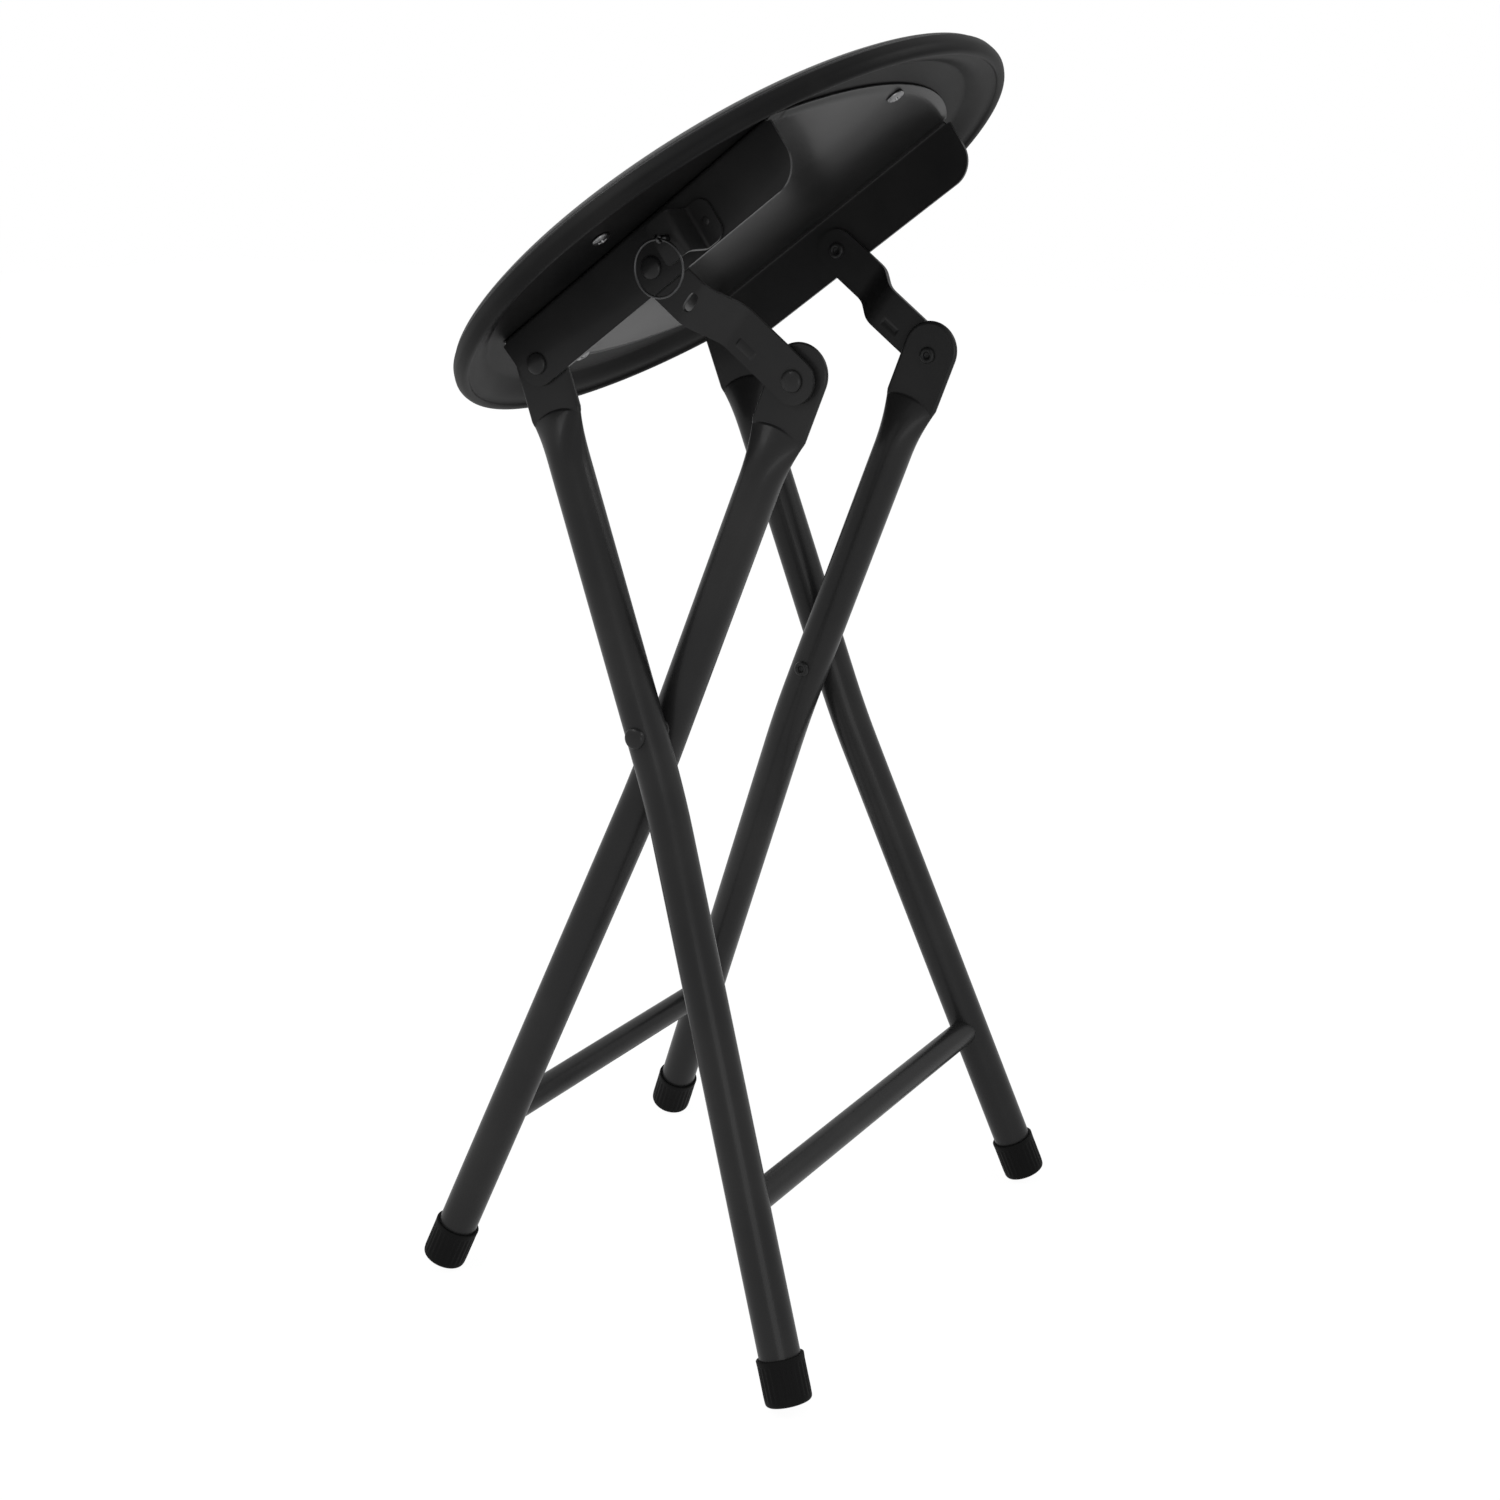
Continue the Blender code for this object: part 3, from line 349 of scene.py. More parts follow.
def thicken(piece: Piece, sheet: float, edge: float, limit: float = 50.0) -> None:
    """Gives a sheet its thickness, half to each side, and eases its cut edges.

    Args:
        piece: an open sheet.
        sheet: thickness in millimetres.
        edge: width of the eased edge in millimetres.
        limit: angle in degrees past which an edge is eased.
    """
    wall = piece.modifiers.new("wall", "SOLIDIFY")
    wall.thickness = sheet * MM
    wall.offset = 0.0
    ease = piece.modifiers.new("ease", "BEVEL")
    ease.width = edge * MM
    ease.segments = 2
    ease.limit_method = "ANGLE"
    ease.angle_limit = math.radians(limit)
    ease.harden_normals = True


# Shader groups shared by the finishes


class Bench:
    """Adds and joins the nodes of one tree."""

    def __init__(self, tree: bpy.types.NodeTree) -> None:
        """Works on the given tree."""
        self.tree = tree

    def add(self, kind: str, values: dict[str, object] | None = None, **settings: object) -> Node:
        """Adds a node.

        Args:
            kind: the node's type, without its ShaderNode prefix.
            values: what its inputs are set to, by their names.
            **settings: attributes to set on it.

        Returns:
            The new node.
        """
        node = self.tree.nodes.new("ShaderNode" + kind)
        for name, value in settings.items():
            setattr(node, name, value)
        return self.fill(node, values or {})

    @staticmethod
    def fill(node: Node, values: dict[str, object]) -> Node:
        """Sets inputs of a node by their names, and gives the node back."""
        for label, value in values.items():
            node.inputs[label].default_value = value
        return node

    def join(self, source: Socket, target: Socket) -> None:
        """Links an output to an input."""
        self.tree.links.new(source, target)

    def feed(self, value: object, target: Socket) -> None:
        """Links a socket to an input, or sets the input to a number or a colour."""
        if isinstance(value, Socket):
            self.join(value, target)
        else:
            target.default_value = (*value, 1.0) if isinstance(value, tuple) else float(value)

    def here(self) -> Socket:
        """Gives the place of the shaded point in the object's own frame."""
        return self.add("TexCoord").outputs["Object"]

    def noise(self, vector: Socket, scale: object, detail: float = 2.0, output: str = "Fac") -> Socket:
        """Adds a noise texture that reads a vector, and gives one of its outputs."""
        node = self.add("TexNoise", {"Detail": detail})
        self.feed(scale, node.inputs["Scale"])
        self.join(vector, node.inputs["Vector"])
        return node.outputs[output]

    def cells(self, vector: Socket, scale: Socket, **settings: object) -> Socket:
        """Adds a cell texture that reads a vector, and gives its distance."""
        node = self.add("TexVoronoi", **settings)
        self.join(vector, node.inputs["Vector"])
        self.join(scale, node.inputs["Scale"])
        return node.outputs["Distance"]

    def span(self, value: Socket, low: float, high: float, to: Span = (0.0, 1.0)) -> Socket:
        """Maps a value from one span to another, clamped.

        Args:
            value: what is mapped.
            low: start of the span it is in.
            high: end of that span.
            to: start and end of the new span.

        Returns:
            The mapped value.
        """
        ends = {"From Min": low, "From Max": high, "To Min": to[0], "To Max": to[1]}
        node = self.add("MapRange", ends)
        self.join(value, node.inputs["Value"])
        return node.outputs["Result"]

    def math(self, operation: str, first: object, second: object = 0.0) -> Socket:
        """Joins two values, sockets or numbers, by an operation."""
        node = self.add("Math", operation=operation)
        self.feed(first, node.inputs[0])
        self.feed(second, node.inputs[1])
        return node.outputs["Value"]

    def blend(self, amount: Socket, first: object, second: object) -> Socket:
        """Mixes two colours.

        A mix node of colours has its factor at input 0, its colours at 6 and 7 and its result at 2.

        Args:
            amount: 0 for the first, 1 for the second.
            first: a colour, or a socket that gives one.
            second: a colour, or a socket that gives one.

        Returns:
            The mixed colour.
        """
        node = self.add("Mix", data_type="RGBA")
        self.join(amount, node.inputs[0])
        self.feed(first, node.inputs[6])
        self.feed(second, node.inputs[7])
        return node.outputs[2]

    def bump(self, height: Socket, strength: float, depth: float, shader: Node) -> None:
        """Tilts a shader's normal by a height."""
        node = self.add("Bump", {"Strength": strength, "Distance": depth})
        self.join(height, node.inputs["Height"])
        self.join(node.outputs["Normal"], shader.inputs["Normal"])

    def seen(self, glossy: float) -> Socket:
        """Gives 1 to the camera, also through something clear, and the glossy value to a reflection."""
        path = self.add("LightPath").outputs
        direct = self.math("MAXIMUM", path["Is Camera Ray"], path["Is Transmission Ray"])
        return self.math("MAXIMUM", direct, self.math("MULTIPLY", path["Is Glossy Ray"], glossy))


def start_material(name: str, values: dict[str, object]) -> tuple[Material, Bench, Node]:
    """Starts a material.

    Args:
        name: name of the material.
        values: what inputs of its shader are set to, by their names.

    Returns:
        The material, the bench of its tree and its shader.
    """
    material = bpy.data.materials.new(name)
    material.use_nodes = True
    bench = Bench(material.node_tree)
    return material, bench, bench.fill(material.node_tree.nodes["Principled BSDF"], values)


class Effects:
    """The node groups that more than one finish uses, each built once."""

    def __init__(self) -> None:
        """Builds the groups."""
        self.flow = self.build_flow()
        self.rub = self.build_rub()
        self.dust = self.build_dust()
        self.pebble = self.build_pebble()

    @staticmethod
    def start(
        name: str, inputs: dict[str, float], outputs: list[str]
    ) -> tuple[Bench, bpy.types.NodeOutputs, bpy.types.NodeInputs]:
        """Starts a group with named number sockets.

        Args:
            name: name of the group.
            inputs: name and default of each input.
            outputs: names of the outputs.

        Returns:
            The bench, the sockets that give the inputs and the sockets that take the outputs.
        """
        tree = bpy.data.node_groups.new(name, "ShaderNodeTree")
        for label, value in inputs.items():
            socket = tree.interface.new_socket(label, in_out="INPUT", socket_type="NodeSocketFloat")
            socket.default_value = value
        for label in outputs:
            tree.interface.new_socket(label, in_out="OUTPUT", socket_type="NodeSocketFloat")
        given, made = tree.nodes.new("NodeGroupInput"), tree.nodes.new("NodeGroupOutput")
        return Bench(tree), given.outputs, made.inputs

    def build_flow(self) -> bpy.types.NodeTree:
        """Builds the unevenness of a sprayed or moulded skin: a fine height and a broad mottle."""
        sizes = {"Scale": 600.0, "Mottle Scale": 9.0}
        bench, given, made = self.start("skin_flow", sizes, ["Height", "Mottle"])
        bench.join(bench.noise(bench.here(), given["Scale"], 3.0), made["Height"])
        broad = bench.noise(bench.here(), given["Mottle Scale"], 4.0)
        bench.join(bench.span(broad, 0.3, 0.7), made["Mottle"])
        return bench.tree

    def build_rub(self) -> bpy.types.NodeTree:
        """Builds a painted highlight on proud edges, a lighter colour broken up by a noise."""
        sizes = {"Sharpness": 0.56, "Breakup Scale": 160.0}
        bench, given, made = self.start("edge_rub", sizes, ["Rub"])
        proud = bench.add("NewGeometry").outputs["Pointiness"]
        broken = bench.noise(bench.here(), given["Breakup Scale"], 5.0)
        edge = bench.span(bench.math("SUBTRACT", proud, given["Sharpness"]), 0.0, 0.12)
        bench.join(bench.math("MULTIPLY", edge, bench.span(broken, 0.38, 0.62)), made["Rub"])
        return bench.tree

    def build_dust(self) -> bpy.types.NodeTree:
        """Builds a thin uneven film of handling dust, and small specks in it."""
        sizes = {"Film Scale": 14.0, "Speck Scale": 420.0}
        bench, given, made = self.start("dust_film", sizes, ["Film", "Specks"])
        film = bench.noise(bench.here(), given["Film Scale"], 5.0)
        near = bench.span(bench.cells(bench.here(), given["Speck Scale"]), 0.03, 0.09, (1.0, 0.0))
        patches = bench.span(film, 0.45, 0.75)
        bench.join(patches, made["Film"])
        bench.join(bench.math("MULTIPLY", near, patches), made["Specks"])
        return bench.tree

    def build_pebble(self) -> bpy.types.NodeTree:
        """Builds a pebbled grain: rounded cells with narrow valleys, and a fine tooth over them."""
        sizes = {"Cell Scale": 900.0, "Tooth": 0.25}
        bench, given, made = self.start("pebble_grain", sizes, ["Height", "Valley"])
        shifted = bench.add("VectorMath", operation="MULTIPLY_ADD")
        bench.join(bench.noise(bench.here(), 350.0, 2.0, "Color"), shifted.inputs[0])
        shifted.inputs[1].default_value = (0.0008, 0.0008, 0.0008)
        bench.join(bench.here(), shifted.inputs[2])
        vector = shifted.outputs["Vector"]
        distance = bench.cells(vector, given["Cell Scale"], feature="DISTANCE_TO_EDGE")
        tooth = bench.math("MULTIPLY", bench.noise(bench.here(), 4200.0), given["Tooth"])
        bench.join(bench.math("ADD", bench.span(distance, 0.0, 0.28), tooth), made["Height"])
        bench.join(bench.span(distance, 0.0, 0.09, (1.0, 0.0)), made["Valley"])
        return bench.tree


@dataclass(frozen=True)
class SkinFinish:
    """A sprayed or moulded skin: enamel, tray plastic, rubber, nylon or plated steel.

    Its colour moves between two near tones, a painted highlight on proud edges and dust lighten it a little,
    and a fine height gives the gloss its texture.
    """

    name: str
    colour: Colour
    light: Colour
    roughness: Span
    metallic: float = 0.0
    specular: float = 0.5
    coat: float = 0.0
    coat_roughness: float = 0.1
    grain: float = 600.0
    relief: float = 0.06
    relief_depth: float = 0.0004
    rub: float = 0.3
    rub_colour: Colour = (0.09, 0.09, 0.092)
    dust: float = 0.1
    dust_colour: Colour = (0.22, 0.21, 0.2)
    dust_roughness: float = 0.6
    film_share: float = 0.35

    def material(self, effects: Effects) -> Material:
        """Builds the material.

        Args:
            effects: the shared node groups.

        Returns:
            The new material.
        """
        material, bench, shader = start_material(
            self.name,
            {
                "Metallic": self.metallic,
                "Specular IOR Level": self.specular,
                "Coat Weight": self.coat,
                "Coat Roughness": self.coat_roughness,
            },
        )
        flow = bench.add("Group", {"Scale": self.grain}, node_tree=effects.flow).outputs
        rub = bench.add("Group", node_tree=effects.rub).outputs["Rub"]
        dust = bench.add("Group", node_tree=effects.dust).outputs
        tone = bench.blend(flow["Mottle"], self.colour, self.light)
        # Painted highlight: proud edges get a lighter colour where edges catch the light.
        edge_highlighted = bench.blend(bench.math("MULTIPLY", rub, self.rub), tone, self.rub_colour)
        film = bench.math("MULTIPLY", dust["Film"], self.film_share)
        dusty = bench.math("MULTIPLY", bench.math("ADD", film, dust["Specks"]), self.dust)
        bench.join(bench.blend(dusty, edge_highlighted, self.dust_colour), shader.inputs["Base Color"])
        dulled = bench.math("MULTIPLY", dusty, self.dust_roughness)
        rough = bench.math("ADD", bench.span(flow["Mottle"], 0.0, 1.0, self.roughness), dulled)
        bench.join(rough, shader.inputs["Roughness"])
        bench.bump(flow["Height"], self.relief, self.relief_depth, shader)
        return material


@dataclass(frozen=True)
class PebbleFinish:
    """Grained vinyl cloth, with painted shade darkening the valleys between its pebbles."""

    name: str = "grained_vinyl"
    colour: Colour = (0.02, 0.02, 0.021)
    valley: Colour = (0.008, 0.008, 0.0085)
    roughness: Span = (0.4, 0.62)
    specular: float = 0.5
    sheen: float = 0.05
    cell: float = 850.0
    relief: float = 0.3
    relief_depth: float = 0.0003
    dust: float = 0.04
    dust_colour: Colour = (0.2, 0.19, 0.18)

    def material(self, effects: Effects) -> Material:
        """Builds the material.

        Args:
            effects: the shared node groups.

        Returns:
            The new material.
        """
        material, bench, shader = start_material(
            self.name, {"Specular IOR Level": self.specular, "Sheen Weight": self.sheen}
        )
        pebble = bench.add("Group", {"Cell Scale": self.cell}, node_tree=effects.pebble).outputs
        dust = bench.add("Group", node_tree=effects.dust).outputs
        # Painted shade: the valleys between the pebbles get a darker colour.
        grain = bench.blend(pebble["Valley"], self.colour, self.valley)
        film = bench.math("MULTIPLY", dust["Film"], self.dust)
        bench.join(bench.blend(film, grain, self.dust_colour), shader.inputs["Base Color"])
        bench.join(bench.span(pebble["Valley"], 0.0, 1.0, self.roughness), shader.inputs["Roughness"])
        bench.bump(pebble["Height"], self.relief, self.relief_depth, shader)
        return material


@dataclass(frozen=True)
class PlyFinish:
    """Birch plywood: pale veneer with fine long grain."""

    name: str = "birch_ply"
    pale: Colour = (0.42, 0.3, 0.18)
    dark: Colour = (0.24, 0.15, 0.08)
    roughness: Span = (0.6, 0.8)
    stretch: Triple = (0.12, 1.0, 0.12)
    grain: float = 700.0
    relief: float = 0.15
    relief_depth: float = 0.0003

    def material(self, effects: Effects) -> Material:
        """Builds the material.

        Args:
            effects: the shared node groups.

        Returns:
            The new material.
        """
        material, bench, shader = start_material(self.name, {})
        drawn = bench.add("Mapping", {"Scale": self.stretch})
        bench.join(bench.here(), drawn.inputs["Vector"])
        streak = bench.span(bench.noise(drawn.outputs["Vector"], self.grain, 6.0), 0.35, 0.65)
        bench.join(bench.blend(streak, self.pale, self.dark), shader.inputs["Base Color"])
        bench.join(bench.span(streak, 0.0, 1.0, self.roughness), shader.inputs["Roughness"])
        specks = bench.add("Group", node_tree=effects.dust).outputs["Specks"]
        bench.bump(bench.math("ADD", streak, specks), self.relief, self.relief_depth, shader)
        return material


class Finishes:
    """The stool's finishes, by the slot of the record that each one dresses."""

    def __init__(self) -> None:
        """Builds every material once."""
        effects = Effects()
        looks = {
            Slot.PAINT: SkinFinish(
                "satin_enamel", (0.0132, 0.0132, 0.0135), (0.0162, 0.0162, 0.0165), (0.32, 0.4),
                specular=0.17, coat=0.08, coat_roughness=0.12, grain=520.0, relief=0.08,
            ),
            Slot.TRAY: SkinFinish(
                "moulded_tray", (0.006, 0.006, 0.0062), (0.008, 0.008, 0.0082), (0.46, 0.54),
                specular=0.1, grain=1500.0, relief=0.12, rub=0.15,
            ),
            Slot.VINYL: PebbleFinish(),
            Slot.PLYWOOD: PlyFinish(),
            Slot.ZINC: SkinFinish(
                "bright_zinc", (0.17, 0.17, 0.173), (0.3, 0.3, 0.304), (0.24, 0.4), metallic=1.0,
                grain=900.0, relief=0.2, rub_colour=(0.42, 0.42, 0.425), dust=0.15,
            ),
            Slot.RUBBER: SkinFinish(
                "foot_rubber", (0.0025, 0.0025, 0.0025), (0.0045, 0.0045, 0.0045), (0.55, 0.7),
                specular=0.1, grain=2200.0, relief=0.2, rub_colour=(0.012, 0.012, 0.012), dust=0.02,
            ),
            Slot.WIRE: SkinFinish(
                "dark_wire", (0.05, 0.05, 0.051), (0.085, 0.085, 0.087), (0.3, 0.42), metallic=1.0,
                grain=1100.0, relief=0.12, rub=0.35, rub_colour=(0.2, 0.2, 0.2),
            ),
            Slot.NYLON: SkinFinish(
                "black_nylon", (0.013, 0.013, 0.0135), (0.018, 0.018, 0.018), (0.42, 0.5),
                grain=1800.0, relief=0.1, rub=0.1,
            ),
        }
        self.by_slot: dict[Slot, Material] = {slot: look.material(effects) for slot, look in looks.items()}

    def dress(self, piece: Piece, slot: Slot) -> None:
        """Gives a piece the material of a slot, in place of any that it has."""
        piece.data.materials.clear()
        piece.data.materials.append(self.by_slot[slot])

    def repaint(self, node: str, slot: Slot) -> None:
        """Puts a slot's material on a solid that stays as it is."""
        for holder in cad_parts[node].material_slots:
            holder.material = self.by_slot[slot]
        LOG.info("repainted %s", node)


@dataclass
class SubAssembly:
    """What every sub-assembly shares: its finishes, and how a piece is handed over."""

    finishes: Finishes

    def settle(self, piece: Piece, body: str, slot: Slot, *nodes: str) -> Piece:
        """Dresses a piece, sets it on its body and lets it stand for its solids.

        Args:
            piece: the finished piece.
            body: the body that it rides on.
            slot: the slot that it takes its finish from.
            *nodes: the solids that it stands for.

        Returns:
            The piece.
        """
        self.finishes.dress(piece, slot)
        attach(piece, body)
        if nodes:
            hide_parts(*nodes)
        LOG.info("%s rides on %s with %d faces", piece.name, body, len(piece.data.polygons))
        return piece

    def make(
        self,
        name: str,
        grid: np.ndarray,
        place: Place,
        sharp: float,
        body: str,
        slot: Slot,
        *nodes: str,
        closed: bool = False,
    ) -> Piece:
        """Makes a piece from one grid whose columns wrap, and settles it.

        Args:
            name: name of the new piece.
            grid: positions in millimetres.
            place: frame that the grid is in.
            sharp: angle in degrees past which an edge is left sharp.
            body: the body that it rides on.
            slot: the slot that it takes its finish from.
            *nodes: the solids that it stands for.
            closed: whether the last row joins the first.

        Returns:
            The piece.
        """
        shell = Shell().add(grid, wrap_rows=closed, wrap_columns=True)
        piece = shell.to_object(name, place, sharp)
        return self.settle(piece, body, slot, *nodes)


# The seat


@dataclass
class SeatPad(SubAssembly):
    """The crowned vinyl pad on the seat board, swelled and puckered by its foam."""

    centre: float = 94.5
    radius: float = 186.0
    board_radius: float = 171.0
    board_rim: float = 4.0
    low: float = 30.4
    seam: float = 25.3
    shoulder: float = 28.9
    crown: float = 39.4
    crown_inset: float = 18.0
    crown_start: float = 4.6
    count: int = 160
    welt: float = 0.7
    welt_inset: float = 0.6
    cap: float = 5.0
    pressure: float = 4.0
    shrink: float = 0.006
    stiffness: float = 6.0
    mass: float = 0.5
    quality: int = 5
    frames: int = 20
    held_rim: float = 22.0
    held_rise: float = 1.5

    def outline(self) -> np.ndarray:
        """Gives the half section: underside, rim, shoulder and a crown that falls as 1 - part^2."""
        edge, inside = self.radius, self.radius - self.crown_inset
        flat, level = self.board_radius - self.board_rim, self.shoulder + self.crown_start
        rim = rounded_line(
            [
                (flat, self.low, 0.0),
                (self.board_radius, self.low, 0.6),
                (self.board_radius, self.seam, 0.6),
                (edge - 1.0, self.seam, 1.0),
                (edge, self.seam + 1.8, 1.0),
                (edge - 2.4, self.shoulder, 2.2),
                (edge - 10.0, self.shoulder + 3.4, 5.0),
                (inside, level, 0.0),
            ],
            7,
        )
        part = np.linspace(1.0, 0.0, 44)[1:]
        rise = (self.crown - self.shoulder - self.crown_start) * (1.0 - part**2)
        under = positions(np.linspace(0.0, flat, 20)[:-1], self.low)
        return np.concatenate((under, rim, positions(inside * part, level + rise)))

    def swell(self, pad: Piece) -> None:
        """Blows the cover up with its rim and underside held, and keeps each move under the cap.

        Args:
            pad: the closed pad, which gets the swelled points.
        """
        scene = bpy.context.scene
        before = read_points(pad.data)
        along, across, up = np.moveaxis(SEAT.local(before), -1, 0)
        from_centre = np.hypot(along - self.centre, across)
        free = (up > self.shoulder + self.held_rise) & (from_centre < self.radius - self.held_rim)
        group = pad.vertex_groups.new(name="held")
        group.add(np.flatnonzero(~free).tolist(), 1.0, "REPLACE")
        cloth = pad.modifiers.new("foam", "CLOTH").settings
        cloth.quality = self.quality
        cloth.mass = self.mass
        cloth.use_pressure = True
        cloth.uniform_pressure_force = self.pressure
        cloth.shrink_min = self.shrink
        cloth.bending_stiffness = self.stiffness
        cloth.vertex_group_mass = group.name
        cloth.effector_weights.gravity = 0.0
        for step in range(1, self.frames + 1):
            scene.frame_set(step)
        after = read_points(pad.evaluated_get(bpy.context.evaluated_depsgraph_get()).to_mesh())
        pad.modifiers.clear()
        pad.vertex_groups.clear()
        move = after - before
        far = np.linalg.norm(move, axis=1, keepdims=True)
        move *= np.minimum(1.0, self.cap * MM / np.maximum(far, 1e-9))
        write_points(pad.data, before + move)
        scene.frame_set(1)

    def build(self) -> None:
        """Builds the pad, its welt and the board's finish."""
        grid = revolve(self.outline(), self.count, Axis.UPRIGHT)
        grid[..., 0] += self.centre
        pad = Shell().add(grid, wrap_columns=True).to_object("vinyl_pad", SEAT, 50.0)
        self.swell(pad)
        smooth = pad.modifiers.new("soft", "SUBSURF")
        smooth.levels = smooth.render_levels = 1
        self.settle(pad, "seat", Slot.VINYL, "seat_cushion")
        ring, reach = around(self.count), self.radius - self.welt_inset
        level = self.seam + self.welt_inset
        path = positions(self.centre + reach * np.cos(ring), reach * np.sin(ring), level)
        welt = sweep(path, self.welt, 10, True)
        self.make("pad_welt", welt, SEAT, 60.0, "seat", Slot.VINYL, closed=True)
        self.finishes.repaint("seat_board", Slot.PLYWOOD)


@dataclass
class SeatTray(SubAssembly):
    """The moulded tray: flat floor, sloping cove, rolled lip and smooth outer band."""

    centre: float = 94.5
    radius: float = 189.5
    floor: float = 24.3
    floor_radius: float = 165.5
    wall: float = 1.5
    lip: float = 14.0
    top: float = 25.0

    def outline(self) -> np.ndarray:
        """Gives the tray's half section, from the middle of its underside round the lip and back."""
        edge = self.radius
        return rounded_line(
            [
                (0.0, self.floor, 0.0),
                (self.floor_radius - 40.0, self.floor, 4.0),
                (self.floor_radius - 0.5, self.floor, 1.8),
                (self.floor_radius + 9.5, self.lip + 3.4, 7.0),
                (edge - 7.2, self.lip + 2.3, 1.6),
                (edge - 6.4, self.lip + 0.4, 1.4),
                (edge - 4.0, self.lip - 0.2, 2.0),
                (edge - 1.6, self.lip + 0.6, 2.4),
                (edge, self.lip + 4.0, 4.0),
                (edge, self.lip + 6.5, 3.0),
                (edge - 1.5, self.top, 0.9),
                (edge - 3.4, self.top, 0.4),
                (edge - 2.3, self.lip + 6.0, 2.0),
                (edge - 5.0, self.lip + 2.6, 1.5),
                (edge - 8.5, self.lip + 5.0, 2.0),
                (self.floor_radius + 3.0, self.floor + 0.2, 3.0),
                (self.floor_radius - 2.0, self.floor + self.wall, 2.0),
                (0.0, self.floor + self.wall, 0.0),
            ],
            8,
        )

    def build(self) -> None:
        """Builds the tray."""
        grid = revolve(self.outline(), 192, Axis.UPRIGHT)
        grid[..., 0] += self.centre
        self.make("moulded_tray", grid, SEAT, 40.0, "seat", Slot.TRAY, "seat_pan")


